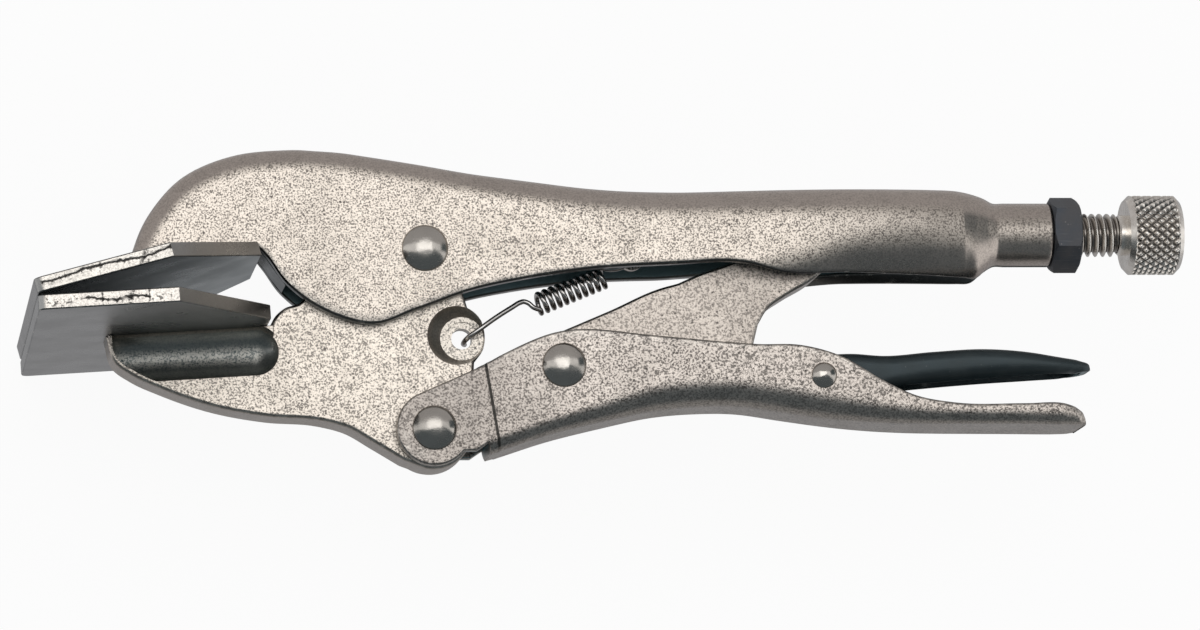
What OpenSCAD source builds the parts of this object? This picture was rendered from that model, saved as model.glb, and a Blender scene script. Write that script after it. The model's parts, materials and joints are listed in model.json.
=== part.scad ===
// Locking pliers with wide flat jaws, for bending and clamping sheet metal.
// X runs along the tool, from the jaws (-X) to the adjusting knob (+X).
// Y points from the lower handle to the upper handle, and Z runs through the thickness.
// Each piece is drawn about the main pivot, and the whole tool is then centred on its box.

/* [Jaw blades] */
// Width of both blades, across the tool
jaw_width = 80; // [60:1:100]
// Thickness of the blade plates
blade_t = 2.7; // [2.2:0.1:3.4]
// Length of a blade from its front edge to its back edge
blade_depth = 42.5; // [40:0.5:45]
// Length of the full-width front of a blade
blade_front = 24.5; // [18:0.5:30]
// Width of a blade at its back edge
blade_neck = 26; // [20:1:34]
// Corner radius at the ends of the front edge
blade_corner_r = 1.6; // [0.5:0.1:4]
// Distance from the main pivot to the front edges
jaw_reach = 71; // [68:0.5:75]
// Drop of the bite line below the main pivot
bite_drop = 13.3; // [12.5:0.1:14.5]
// Rise of the upper blade towards the pivot, in degrees
upper_slope = 15; // [13:0.5:17]
// Rise of the lower blade towards the pivot, in degrees
lower_slope = 3.3; // [2:0.1:4.5]
// Gap between the closed front edges
tip_gap = 0.3; // [0.2:0.05:0.6]

/* [Upper handle] */
// Wall thickness of the pressed upper handle
sheet_t = 2.6; // [2:0.1:3]
// Height of the head's crown above the main pivot
crown_rise = 18.7; // [17:0.1:21]
// Length of the blades in front of the head
blade_overhang = 17.7; // [15:0.1:20]
// Depth of the throat lobe below the main pivot
lobe_drop = 13.7; // [13:0.1:15]
// Height of the grip's back above the main pivot
grip_rise = 11.4; // [10.6:0.1:13]
// Depth of the grip's open edge below the main pivot
grip_drop = 4.8; // [4:0.1:6]
// Width of the grip
grip_w = 20; // [18:0.5:23]
// Bend radius along the back of the head
head_bend_r = 3.4; // [3:0.1:4]
// Bend radius along the back of the grip
grip_bend_r = 6.5; // [5:0.1:7]
// Radius of the rolled-in edges of the grip
edge_roll_r = 8; // [7:0.1:9]

/* [Screw end] */
// Outer diameter of the tube at the back of the upper handle
tube_d = 11.7; // [11:0.1:13]
// Where the tube starts, behind the main pivot
tube_start = 105.2; // [104:0.1:108]
// Where the tube ends, behind the main pivot
tube_end = 116.1; // [113:0.1:120]
// Height of the screw axis above the main pivot
screw_rise = 3.55; // [3:0.05:4]
// Major diameter of the adjusting screw
thread_d = 7.94; // [7:0.01:8.4]
// Where the screw's inner tip stands, behind the main pivot
screw_tip = 80; // [79:0.1:84]
// Radius of the dome on the screw's tip
tip_dome_r = 5; // [4.5:0.1:8]
// Diameter of the plain shank inside the knob
shank_d = 6.6; // [5.5:0.1:6.8]
// Thickness of the lock nut
nut_t = 6.6; // [5:0.1:8]
// Width of the lock nut across its flats
nut_af = 12.4; // [11:0.1:14]
// Turn of the lock nut about the screw, in degrees
nut_turn = 14; // [0:1:59]
// Free thread between the lock nut and the knob
thread_gap = 6.9; // [5:0.1:12]
// Diameter of the knob
knob_d = 14.6; // [12:0.1:18]
// Length of the knob
knob_len = 11.9; // [9:0.1:16]
// Chamfer at the knob's ends
knob_chamfer = 0.9; // [0.4:0.1:1.4]
// Depth of the recess in the knob's inner face
knob_recess = 1.2; // [0.5:0.1:3]
// Width of the rim round that recess
knob_rim = 2.2; // [1.8:0.1:3]
// Thickness of the knob's closed end
knob_web = 1.3; // [1:0.1:3]

/* [Lower jaw] */
// Thickness of the lower jaw and of the block in the head
arm_t = 9; // [8:0.1:10]
// Radius of the jaw's eye at the main pivot
pivot_eye_r = 7.5; // [6.5:0.1:8.5]
// Radius of the jaw's eye at the handle rivet
handle_eye_r = 7.2; // [6.5:0.1:8]
// Radius of the scoop under the blade
scoop_r = 3.9; // [3.4:0.1:4.2]
// Half the thickness of the web between the scoops
web_half = 1.7; // [1.2:0.1:2.2]
// Thickness of the fillet's edge under the blade
fillet_edge_t = 0.4; // [0.3:0.1:0.8]
// Radius of the spring lug
lug_r = 5.8; // [5.4:0.1:6.4]
// Radius of the round recess in the spring lug
lug_recess_r = 5.2; // [4.6:0.1:5.3]
// Thickness of the lug's web between its recesses
lug_web_t = 2.6; // [1.6:0.1:4]
// Diameter of the spring hole
spring_hole_d = 3.3; // [2.8:0.1:3.8]

/* [Lower handle] */
// Wall thickness of the pressed lower handle
lower_sheet_t = 2.2; // [1.8:0.1:2.6]
// Radius of the ears round the jaw rivet
ear_r = 6.8; // [6:0.1:7.5]
// Width of the lower handle's grip
lower_grip_w = 18; // [17:0.5:20]
// Bend radius along the lower handle's back
lower_bend_r = 4.6; // [3.8:0.1:5]
// Outward step from the ears to the walls
ear_step = 1.5; // [1:0.1:1.9]
// Distance from the main pivot to the tip of the lower handle, along the tool
lower_reach = 120.3; // [117:0.1:124]

/* [Toggle and lever] */
// Thickness of the toggle link
link_t = 9; // [7:0.1:10]
// Radius of the link's eye
link_eye_r = 6.2; // [5.6:0.1:7]
// Radius of the link's nose
nose_r = 3.6; // [3:0.1:4.2]
// Gap between the link's nose and the screw's tip
nose_gap = 2.6; // [2.5:0.1:4]
// Width of the release lever
lever_w = 11; // [9:0.1:12]
// Wall thickness of the release lever
lever_t = 1.6; // [1.2:0.1:2]
// Bend radius along the top of the release lever
lever_bend_r = 2.2; // [2.1:0.1:2.6]

/* [Rivets and spring] */
// Shank diameter of the three large rivets
rivet_d = 6; // [5:0.1:6.6]
// Head diameter of the main pivot rivet
main_head_d = 8.8; // [8:0.1:10]
// Head diameter of the two handle rivets
handle_head_d = 8.2; // [7.6:0.1:9.5]
// Height of the large rivet heads
head_h = 2; // [1.4:0.1:2.6]
// Shank diameter of the lever rivet
lever_rivet_d = 3.2; // [2.6:0.1:3.6]
// Head diameter of the lever rivet
lever_head_d = 4.9; // [4.4:0.1:6]
// Height of the lever rivet's heads
lever_head_h = 1.3; // [0.8:0.1:1.8]
// Outer diameter of the return spring
spring_d = 4.4; // [3.8:0.1:5]
// Diameter of the spring wire
wire_d = 0.85; // [0.7:0.05:1]
// Number of coils in the spring
spring_coils = 11; // [8:1:13]
// Thickness of the plate the spring hooks on, inside the upper handle
lug_plate_t = 1.5; // [1.2:0.1:2]
// Width of that plate at its hook hole
lug_plate_w = 4.8; // [4:0.1:6]
// Diameter of the hook hole
hook_hole_d = 1.9; // [1.7:0.1:2.2]

/* [Hidden] */
$fn = 96;

nickel = [0.72, 0.70, 0.66];
bright_nickel = [0.80, 0.78, 0.74];
blued_steel = [0.20, 0.23, 0.28];
black_finish = [0.10, 0.10, 0.11];
spring_steel = [0.30, 0.30, 0.32];

// Radial clearance of a rivet or screw in its bore
running_fit = 0.05;
// Clearance between the jaw and the sheet walls on each side
side_gap = 0.2;
// Clearance between pieces that are welded together
weld_gap = 0.05;
// Gap between the jaw block and the inside of the head's crown
crown_gap = 0.8;
// End gap between the screw's shank and the bottom of its bore in the knob
shank_end_gap = 0.2;
// How far the welded pieces are drawn into the upper blade's space before it is cut out
seat_depth = 0.6;
// How far a rivet's shank runs into each of its heads
shank_sink = 0.2;
// How far a cut runs past what it cuts
overrun = 0.5;
// Chamfers at the screw's tip and at the end of its thread
tip_chamfer = 0.6;
thread_chamfer = 0.4;
// Bevel of the knob's recess, and step of the lock nut's faces inside its flats
recess_bevel = 0.3;
nut_face_step = 0.1;

// Bore of the tube and of the lock nut
bore_d = thread_d + 2 * running_fit;

// Rivet centres, about the main pivot
main_pivot = [0, 0];
jaw_pivot = [1.2, -32.6];
link_pivot = [24.7, -21.5];
lever_pivot = [72, -23.6];
// Centre of the spring lug and of the recess and hole in it
lug_centre = [5.3, -15.6];
recess_centre = [6.1, -15.8];
spring_hole = [7, -16];

// Half widths of the sheet shells, from the middle plane outwards
head_half = arm_t / 2 + side_gap + sheet_t;
grip_half = grip_w / 2;
ear_half = arm_t / 2 + side_gap + lower_sheet_t;
wall_half = ear_half + ear_step;
lower_half = max(lower_grip_w / 2, wall_half);

// ---- Curves ----

function along(angle, d) = d * [cos(angle), sin(angle)];
function arc(centre, r, from, to, steps = 16) =
    [for (i = [0:steps]) centre + along(from + (to - from) * i / steps, r)];

// Distance between two points, or between the two points of two rows
function row_gap(a, b) =
    norm([b[0] - a[0], b[1] - a[1]]) + (len(a) > 2 ? norm([b[2] - a[2], b[3] - a[3]]) : 0);
// Smooth curve from p1 to p2 that leaves and arrives in line with its neighbours
function curve_between(p0, p1, p2, p3, t) =
    let (d0 = row_gap(p0, p1), d1 = row_gap(p1, p2), d2 = row_gap(p2, p3),
         leave = d1 * ((p1 - p0) / d0 - (p2 - p0) / (d0 + d1)) + (p2 - p1),
         arrive = d1 * ((p3 - p2) / d2 - (p3 - p1) / (d1 + d2)) + (p2 - p1))
    (2 * pow(t, 3) - 3 * t * t + 1) * p1 + (pow(t, 3) - 2 * t * t + t) * leave
    + (3 * t * t - 2 * pow(t, 3)) * p2 + (pow(t, 3) - t * t) * arrive;
// Smooth curve through all the key points, in a number of steps between each two
function smooth(keys, steps) =
    let (last = len(keys) - 1)
    [for (i = [0:last - 1])
        let (before = i == 0 ? 2 * keys[0] - keys[1] : keys[i - 1],
             after = i == last - 1 ? 2 * keys[last] - keys[last - 1] : keys[i + 2])
        for (j = [0:steps - 1]) curve_between(before, keys[i], keys[i + 1], after, j / steps),
     keys[last]];

// ---- Pressed sheet shells ----
// A shell is lofted through rows of [spine x, spine y, edge x, edge y, half width, bend radius,
// edge roll radius, edge roll angle]. The sheet folds over the spine and ends at the edge.
// Spine and edge follow smooth curves, and the other four values change evenly between rows.
function smooth_rows(keys, steps) =
    let (places = smooth([for (key = keys) [key[0], key[1], key[2], key[3]]], steps))
    [for (i = [0:len(places) - 1])
        let (k = floor(i / steps), t = i / steps - k, from = keys[k], to = keys[min(k + 1, len(keys) - 1)])
        concat(places[i], [for (j = [4:7]) from[j] * (1 - t) + to[j] * t])];

// One side of the profile, from the edge to the spine, as [distance from the spine, half width]
function side_profile(row, inset, roll_steps, bend_steps) =
    let (length = norm([row[2] - row[0], row[3] - row[1]]), half = row[4], bend = row[5],
         roll = row[6], angle = row[7], roll_start = length - roll * sin(angle))
    concat(
        [for (i = [roll_steps:-1:0]) let (a = angle * i / max(roll_steps, 1))
            [roll_start + (roll - inset) * sin(a), half - roll + (roll - inset) * cos(a)]],
        [for (i = [0:bend_steps]) let (a = 90 * i / bend_steps)
            [bend - (bend - inset) * sin(a), half - bend + (bend - inset) * cos(a)]]);
function place(row, p) =
    let (spine = [row[0], row[1]], out = [row[2], row[3]] - spine, q = spine + p[0] * out / norm(out))
    [q[0], q[1], p[1]];
function shell_ring(row, sheet, roll_steps, bend_steps) =
    let (outer = side_profile(row, 0, roll_steps, bend_steps),
         inner = side_profile(row, sheet, roll_steps, bend_steps), last = len(outer) - 1)
    concat([for (p = outer) place(row, p)],
           [for (i = [last:-1:0]) place(row, [outer[i][0], -outer[i][1]])],
           [for (p = inner) place(row, [p[0], -p[1]])],
           [for (i = [last:-1:0]) place(row, inner[i])]);
module loft(rings) {
    n = len(rings[0]);
    last = (len(rings) - 1) * n;
    sides = [for (i = [0:n:last - 1]) for (j = [0:n - 1])
        let (a = i + j, b = i + (j + 1) % n) each [[a, b, b + n], [a, b + n, a + n]]];
    // Each end is closed by a strip between the two halves of its ring, which a bent sheet's end needs
    cap = [for (j = [0:n / 2 - 2]) each [[j, j + 1, n - 2 - j], [j, n - 2 - j, n - 1 - j]]];
    polyhedron([for (ring = rings) each ring],
               concat([for (f = cap) [f[2], f[1], f[0]]], sides, [for (f = cap) [last, last, last] + f]));
}
// A shell that opens upwards has its rings turned round, so that its faces still point outwards
module shell(keys, sheet, steps, roll_steps, bend_steps, opens_up = false) {
    loft([for (row = smooth_rows(keys, steps))
        let (ring = shell_ring(row, sheet, roll_steps, bend_steps))
        opens_up ? [for (i = [len(ring) - 1:-1:0]) ring[i]] : ring]);
}

// ---- Small helpers ----

// A straight solid through the thickness, centred on the middle plane
module slab(points, thickness) {
    translate([0, 0, -thickness / 2])
        linear_extrude(thickness) polygon(points);
}
// A round bar with a ball end below its base
module round_nosed(r, length) {
    rotate_extrude() {
        intersection() {
            circle(r);
            translate([0, -r]) square(r);
        }
        translate([0, -overrun / 50]) square([r, length]);
    }
}
// A hole or pin across the tool
module across(centre, d, length) {
    translate([centre[0], centre[1], -length / 2]) cylinder(d = d, h = length);
}
module rivet(centre, shank, head_d, height, seat_half) {
    dome_r = (pow(head_d / 2, 2) + height * height) / (2 * height);
    across(centre, shank, 2 * (seat_half + shank_sink));
    for (side = [-1, 1])
        translate([centre[0], centre[1], side * seat_half])
            mirror([0, 0, side < 0 ? 1 : 0])
                intersection() {
                    translate([0, 0, height - dome_r]) sphere(dome_r);
                    cylinder(d = head_d, h = height);
                }
}

// ---- Blades ----

upper_front = [-jaw_reach, -bite_drop];
lower_front = [-jaw_reach, -bite_drop - tip_gap];
upper_top = upper_front + along(upper_slope + 90, blade_t);
lower_under = lower_front + along(lower_slope - 90, blade_t);
blade_back = upper_top + along(upper_slope, blade_depth);
lower_back = lower_under + along(lower_slope, blade_depth);

// Outline of a blade in its own plane, with its front edge on the Y axis
function blade_outline() =
    let (half = jaw_width / 2, neck = blade_neck / 2, r = blade_corner_r)
    concat(arc([r, half - r], r, 180, 90, 6), [[blade_front, half], [blade_depth, neck]],
           [[blade_depth, -neck], [blade_front, -half]], arc([r, r - half], r, 270, 180, 6));
module blade(corner, slope) {
    translate([corner[0], corner[1], 0])
        rotate([0, 0, slope])
            rotate([90, 0, 0])
                mirror([0, 0, 1])
                    linear_extrude(blade_t) polygon(blade_outline());
}
module upper_blade() {
    color(nickel) blade(upper_front, upper_slope);
}
module lower_blade() {
    color(nickel) blade(lower_under, lower_slope);
}

// ---- Upper handle ----

// A point just inside the space of the upper blade, which is cut out of all that is welded to it
function on_upper_blade(x) =
    [x, upper_top[1] + (x - upper_top[0]) * tan(upper_slope) - seat_depth];
// The upper blade's space and the mouth below it, with the weld gap above and behind the blade
module upper_blade_space() {
    mouth = 3 * blade_t;
    translate([upper_front[0], upper_front[1], 0])
        rotate([0, 0, upper_slope])
            translate([0, -mouth, -jaw_width / 2])
                cube([blade_depth + weld_gap, mouth + blade_t + weld_gap, jaw_width]);
}
function upper_row(spine, edge, half, bend, roll = edge_roll_r, angle = 0) =
    [spine[0], spine[1], edge[0], edge[1], half, bend, roll, angle];

head_nose = jaw_reach - blade_overhang;
nose_foot = on_upper_blade(-head_nose);
tube_r = tube_d / 2;
// The crown above the blade's back edge and the lowest row of the lobe, with the rows between them
// set at shares of the way from the one to the other
crown_row = [20 - head_nose, crown_rise - 0.9, blade_back[0] + 0.5, blade_back[1] - 0.3];
lobe_row = [-10, crown_rise - 1.2, -10.6, -lobe_drop];
function throat_row(crown_share, edge_share, edge_fall, height) =
    [crown_row[0] + crown_share * (lobe_row[0] - crown_row[0]), height,
     crown_row[2] + edge_share * (lobe_row[2] - crown_row[2]),
     crown_row[3] + edge_fall * (lobe_row[3] - crown_row[3]),
     head_half, head_bend_r, edge_roll_r, 0];
// The head, as a fan of rows from the blade's top round to the throat lobe
head_rows = [
    upper_row(nose_foot, nose_foot + along(upper_slope, head_bend_r + 0.8), head_half, head_bend_r),
    upper_row([1 - head_nose, 0.4], on_upper_blade(9.3 - head_nose), head_half, head_bend_r),
    upper_row([4.2 - head_nose, 7.3], on_upper_blade(14.8 - head_nose), head_half, head_bend_r),
    upper_row([10.1 - head_nose, crown_rise - 5], on_upper_blade(19.3 - head_nose), head_half, head_bend_r),
    throat_row(0, 0, 0, crown_rise - 0.9),
    throat_row(0.4, 0.1, 0.14, crown_rise),
    throat_row(0.61, 0.26, 0.46, crown_rise - 0.2),
    throat_row(0.79, 0.55, 0.78, crown_rise - 0.5),
    throat_row(1, 1, 1, lobe_row[1]),
    upper_row([-1, crown_rise - 2.6], [-1.6, 2.6 - lobe_drop], head_half, head_bend_r),
    upper_row([9, crown_rise - 4.3], [8, 6 - lobe_drop], head_half, head_bend_r + 0.4)];
// The grip, with its edges rolled in towards the screw tube
grip_rows = [
    upper_row([19, grip_rise + 1.6], [18, -grip_drop - 0.8], head_half + 0.6, head_bend_r + 1),
    upper_row([31, grip_rise], [30, 0.8 - grip_drop], grip_half - 1, grip_bend_r - 1.8),
    upper_row([44, grip_rise - 0.7], [44, 1.5 - grip_drop], grip_half, grip_bend_r - 1.2),
    upper_row([58, grip_rise - 0.4], [58, 1.7 - grip_drop], grip_half, grip_bend_r - 0.7, edge_roll_r, 4),
    upper_row([65, grip_rise - 0.2], [65, -grip_drop], grip_half, grip_bend_r - 0.4, edge_roll_r, 22),
    upper_row([80, grip_rise], [80, 0.1 - grip_drop], grip_half, grip_bend_r, edge_roll_r, 45),
    upper_row([92, grip_rise], [92, -grip_drop - 0.1], grip_half - 1, grip_bend_r, edge_roll_r, 60)];
// The neck, drawn down to a closed tube round the screw
neck_length = 8;
tube_top = screw_rise + tube_r;
tube_under = screw_rise - tube_r;
tube_rows = [
    upper_row([tube_start - 7.2, grip_rise - 0.4], [tube_start - 7.2, -grip_drop], 7.7, 6.5, 7, 76),
    upper_row([tube_start - 2.8, tube_top + 0.4], [tube_start - 2.8, tube_under - 0.9], 6.3, 6, 6.2, 85),
    upper_row([tube_start, tube_top], [tube_start, tube_under], tube_r, tube_r, tube_r, 88),
    upper_row([tube_start + 2, tube_top], [tube_start + 2, tube_under], tube_r, tube_r, tube_r, 88),
    upper_row([tube_end, tube_top], [tube_end, tube_under], tube_r, tube_r, tube_r, 88)];
upper_rows = concat(head_rows, grip_rows, tube_rows);

module upper_handle() {
    color(nickel)
        difference() {
            shell(upper_rows, sheet_t, 2, 4, 6);
            upper_blade_space();
            across(main_pivot, rivet_d + 2 * running_fit, 2 * (head_half + overrun));
            translate([tube_start - neck_length, screw_rise, 0])
                rotate([0, 90, 0])
                    cylinder(d = bore_d, h = neck_length + tube_end - tube_start + overrun);
        }
}

// Solid block between the head's walls, which carries the upper blade
module upper_jaw_block() {
    last_row = throat_row(0.61, 0, 0, 0);
    rows = [for (row = smooth_rows(head_rows, 2))
        if (row[0] > 0.5 - head_nose && row[0] < last_row[0] + weld_gap) row];
    spine_side = [for (row = rows)
        let (spine = [row[0], row[1]], out = [row[2], row[3]] - spine)
        spine + (sheet_t + crown_gap) * out / norm(out)];
    edge_side = [for (i = [len(rows) - 1:-1:0]) [rows[i][2], rows[i][3]]];
    color(nickel)
        difference() {
            slab(concat(spine_side, edge_side), arm_t);
            upper_blade_space();
        }
}

// Small plate welded under the back of the upper handle, where the spring hooks on
lug_hook = [38.5, -0.6];
module spring_lug() {
    ceiling = grip_rise - 0.7 - sheet_t;
    half_w = lug_plate_w / 2;
    color(nickel)
        difference() {
            slab(concat([[lug_hook[0] + half_w + 2, ceiling - weld_gap], [lug_hook[0] - half_w, ceiling]],
                        arc(lug_hook, half_w, 180, 360, 12)), lug_plate_t);
            across(lug_hook, hook_hole_d, lug_plate_t + 2 * overrun);
        }
}

// ---- Rivets ----

module main_rivet() {
    color(bright_nickel) rivet(main_pivot, rivet_d, main_head_d, head_h, head_half);
}
module jaw_rivet() {
    color(bright_nickel) rivet(jaw_pivot, rivet_d, handle_head_d, head_h, ear_half);
}
module link_rivet() {
    color(bright_nickel) rivet(link_pivot, rivet_d, handle_head_d, head_h, wall_half);
}
module lever_rivet() {
    color(bright_nickel) rivet(lever_pivot, lever_rivet_d, lever_head_d, lever_head_h, lower_half);
}

// ---- Lower jaw ----

function on_lower_blade(x) = [x, lower_under[1] + (x - lower_under[0]) * tan(lower_slope) - weld_gap];
arm_nose = -57.4;
// Where the scoops under the blade end, towards the pivot
scoop_end = -30.2;
arm_belly = smooth([on_lower_blade(arm_nose), [arm_nose + 1.4, -20.2], [arm_nose + 4.9, -22.8],
                    [-47.7, -25], [-38.2, -28.3], [-28.6, -30.1], [-19, -30.9], [-14.2, -32.2],
                    [-9.4, -35], [-4.3, -38.1]], 4);
arm_hump = smooth([[-20.6, -7.4], [-22.6, -9.5], [-25.2, -10.4], [lower_back[0] + 1, lower_back[1] + 1.2],
                   on_lower_blade(lower_back[0] + 0.6)], 4);
arm_outline = concat(
    arm_belly,
    arc(jaw_pivot, handle_eye_r, 258, 368, 14),
    smooth([[8.9, -27.5], [9.4, -22.5], [10, -19.9]], 3),
    arc(lug_centre, lug_r, -30, 64, 12),
    arc(main_pivot, pivot_eye_r, -35, 205, 28),
    arm_hump);

module lower_jaw() {
    scoop_z = web_half + scoop_r;
    scoop_centre = on_lower_blade(scoop_end) + along(lower_slope - 90, scoop_r + fillet_edge_t);
    fillet_outline = [on_lower_blade(arm_nose + 0.5), on_lower_blade(arm_nose + 0.5) + [0.6, -2.2],
                      on_lower_blade(scoop_end + 3) + [0, -3.2], on_lower_blade(scoop_end + 3)];
    color(nickel)
        difference() {
            union() {
                slab(arm_outline, arm_t);
                slab(fillet_outline, 2 * scoop_z);
            }
            for (side = [-1, 1])
                translate([scoop_centre[0], scoop_centre[1], side * scoop_z])
                    rotate([0, 0, lower_slope]) rotate([0, -90, 0])
                        round_nosed(scoop_r, scoop_end - arm_nose + 2 * scoop_r);
            for (side = [-1, 1])
                translate([recess_centre[0], recess_centre[1], side * (lug_web_t / 2 + arm_t / 2)])
                    cylinder(r = lug_recess_r, h = arm_t, center = true);
            across(spring_hole, spring_hole_d, arm_t);
            across(main_pivot, rivet_d + 2 * running_fit, arm_t + 2 * overrun);
            across(jaw_pivot, rivet_d + 2 * running_fit, arm_t + 2 * overrun);
        }
}

// ---- Lower handle ----

function lower_row(spine, edge, half, bend) =
    [spine[0], spine[1], edge[0], edge[1], half, bend, lower_bend_r, 0];
tail_tip = [lower_reach, -33];
lower_rows = [
    lower_row([11.4, -37.3], [11.4, -20.6], ear_half + weld_gap, 2.6),
    lower_row([13.2, -36.7], [13, -19.8], wall_half, 2.8),
    lower_row([24, -33.4], [22.5, -15.7], wall_half, 3),
    lower_row([33, -31.3], [29, -14.9], wall_half, 3.6),
    lower_row([42, -29.5], [40, -16], (wall_half + lower_half) / 2, lower_bend_r),
    lower_row([50, -28.8], [50, -17], lower_half, lower_bend_r),
    lower_row([58, -28.9], [60, -17.8], lower_half, lower_bend_r),
    lower_row([66, -30.1], [68, -18], lower_half, lower_bend_r),
    lower_row([74, -31.2], [75.5, -20.1], lower_half, lower_bend_r),
    lower_row([82, -32], [82.5, -24.2], lower_half, lower_bend_r - 0.4),
    lower_row([89, -32.4], [89, -27.3], lower_half, lower_bend_r - 0.8),
    lower_row([96, -32.6], [96, -28.6], lower_half, lower_bend_r - 1.4),
    lower_row(tail_tip + [-12, 0.2], [tail_tip[0] - 12, -28.8], lower_half, lower_bend_r - 1.4),
    lower_row(tail_tip - [4, 0], [tail_tip[0] - 4, -28.9], lower_half - 0.2, lower_bend_r - 1.4),
    lower_row(tail_tip - [1.2, 0], [tail_tip[0] - 1.2, -29.7], lower_half - 0.9, lower_sheet_t + 0.4),
    lower_row(tail_tip, [tail_tip[0], -30.4], lower_half - 2, lower_sheet_t + 0.2)];
ear_outline = concat(
    arc(jaw_pivot, ear_r, 118, 322, 24),
    [[8.8, -36.8], [12.1, -34.6], [12.3, -21.4], [11.2, -20.85]]);

module lower_handle() {
    inner_gap = 2 * (ear_half - lower_sheet_t);
    color(nickel)
        difference() {
            union() {
                shell(lower_rows, lower_sheet_t, 2, 0, 6, opens_up = true);
                for (side = [-1, 1])
                    translate([0, 0, side * (ear_half - lower_sheet_t / 2)])
                        slab(ear_outline, lower_sheet_t);
            }
            across(jaw_pivot, rivet_d + 2 * running_fit, 2 * (ear_half + overrun));
            across(link_pivot, rivet_d + 2 * running_fit, 2 * (wall_half + overrun));
            across(lever_pivot, lever_rivet_d + 2 * running_fit, 2 * (lower_half + overrun));
        }
}

// ---- Toggle link ----

nose_centre = [screw_tip - nose_gap - nose_r, screw_rise];
link_outline = concat(
    arc(link_pivot, link_eye_r, 120, 290, 20),
    smooth([[36, -25.4], [46, -22.4], [54, -20.2]], 3),
    arc([57.6, -17.6], 2.2, 240, 340, 8),
    smooth([[60.9, -13.6], [62.6, -10.9], [66.5, -8.1], [71, -5.5], [74.4, -2.6]], 3),
    arc(nose_centre, nose_r, -42, 118, 16),
    smooth([[66, 4.2], [58, -1.4], [50, -4.4]], 3),
    smooth([[46.4, -6], [43.1, -6.9], [34, -10.9]], 3));

module toggle_link() {
    color(nickel)
        difference() {
            slab(link_outline, link_t);
            across(link_pivot, rivet_d + 2 * running_fit, link_t + 2 * overrun);
        }
}

// ---- Release lever ----

function lever_row(top, under) =
    [top[0], top[1], under[0], under[1], lever_w / 2, lever_bend_r, lever_bend_r, 0];
lever_rows = [
    lever_row([60.5, -21.4], [61.2, -24.4]),
    lever_row([66, -20.3], [66.4, -26.4]),
    lever_row([70, -19.6], [70, -26.9]),
    lever_row([78, -18.9], [78.4, -26.4]),
    lever_row([84, -19.3], [84, -25.9]),
    lever_row([93, -18.6], [93, -25.1]),
    lever_row([103, -18.1], [103, -24.3]),
    lever_row([112, -18.8], [112, -23.7]),
    lever_row([119.2, -20.1], [118.6, -23]),
    lever_row([122.4, -21.2], [121, -23.2])];

module release_lever() {
    color(black_finish)
        difference() {
            shell(lever_rows, lever_t, 2, 0, 4);
            across(lever_pivot, lever_rivet_d + 2 * running_fit, lever_w + 2 * overrun);
        }
}

// ---- Return spring ----

// The wire's path: a hook through the jaw's lug, the coils, and a hook through the upper lug
coil_start = [20.6, -9.4];
coil_end = [33.6, -4.1];
coil_r = (spring_d - wire_d) / 2;
coil_run = coil_end - coil_start;
coil_dir = coil_run / norm(coil_run);
coil_side = [-coil_dir[1], coil_dir[0]];
coil_path = [for (i = [0:12 * spring_coils])
    let (a = 360 * i / 12, p = coil_start + coil_run * i / (12 * spring_coils)
            + coil_r * cos(a) * coil_side)
    [p[0], p[1], coil_r * sin(a)]];
jaw_hook = [[7.9, -16.4, -2], [7.2, -16.6, -0.6], [7.1, -16.5, 1], [7.6, -15.9, 2.2], [9.4, -14.5, 2.4],
            [12.5, -12.2, 1.7], [16.4, -9.2, 0.1], [18.2, -8.4, 0]];
upper_hook = [[34.9, -2.8, 0.4], [36.4, -2.6, 1.2], [37.7, -1.9, 1.6], [38.5, -0.9, 1], [38.5, -0.6, -0.4],
              [38, -0.7, -1.7]];
spring_path = concat(jaw_hook, coil_path, upper_hook);

function unit(v) = v / norm(v);
// Rings of a round wire along a path, kept square to it
function wire_rings(path, r, sides) =
    [for (i = [0:len(path) - 1])
        let (tangent = unit(path[min(i + 1, len(path) - 1)] - path[max(i - 1, 0)]),
             first = unit(cross(tangent, [coil_dir[0], coil_dir[1], 0.2])),
             second = cross(tangent, first))
        [for (j = [0:sides - 1]) let (a = 360 * j / sides) path[i] + r * (cos(a) * first + sin(a) * second)]];

module return_spring() {
    color(spring_steel) loft(wire_rings(spring_path, wire_d / 2, 6));
}

// ---- Screw, knob and lock nut ----

knob_start = tube_end + nut_t + thread_gap;
knob_end = knob_start + knob_len;
thread_end = knob_start + knob_recess - thread_chamfer;
shank_end = knob_end - knob_web - shank_end_gap;

// Turns a profile of [distance along the screw, radius] round the screw's axis
module turned(profile) {
    translate([0, screw_rise, 0])
        rotate([0, 90, 0])
            rotate([0, 0, 90])
                rotate_extrude() polygon([for (p = profile) [p[1], p[0]]]);
}
module adjusting_screw() {
    tip_r = thread_d / 2 - tip_chamfer;
    dome = [for (i = [0:6]) let (r = tip_r * i / 6)
        [screw_tip + tip_dome_r - sqrt(pow(tip_dome_r, 2) - r * r), r]];
    color(bright_nickel)
        turned(concat(dome, [[dome[6][0] + tip_chamfer, thread_d / 2], [thread_end, thread_d / 2],
                             [thread_end + thread_chamfer, shank_d / 2], [shank_end, shank_d / 2],
                             [shank_end, 0]]));
}
module adjusting_knob() {
    r = knob_d / 2;
    bore_r = shank_d / 2 + running_fit;
    recess_r = r - knob_rim;
    recess_floor = thread_end + thread_chamfer + shank_end_gap;
    color(bright_nickel)
        turned([[recess_floor, bore_r], [recess_floor, recess_r],
                [knob_start, recess_r + recess_bevel], [knob_start, r - knob_chamfer],
                [knob_start + knob_chamfer, r], [knob_end - knob_chamfer, r], [knob_end, r - knob_chamfer],
                [knob_end, 0], [knob_end - knob_web, 0], [knob_end - knob_web, bore_r]]);
}
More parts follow.
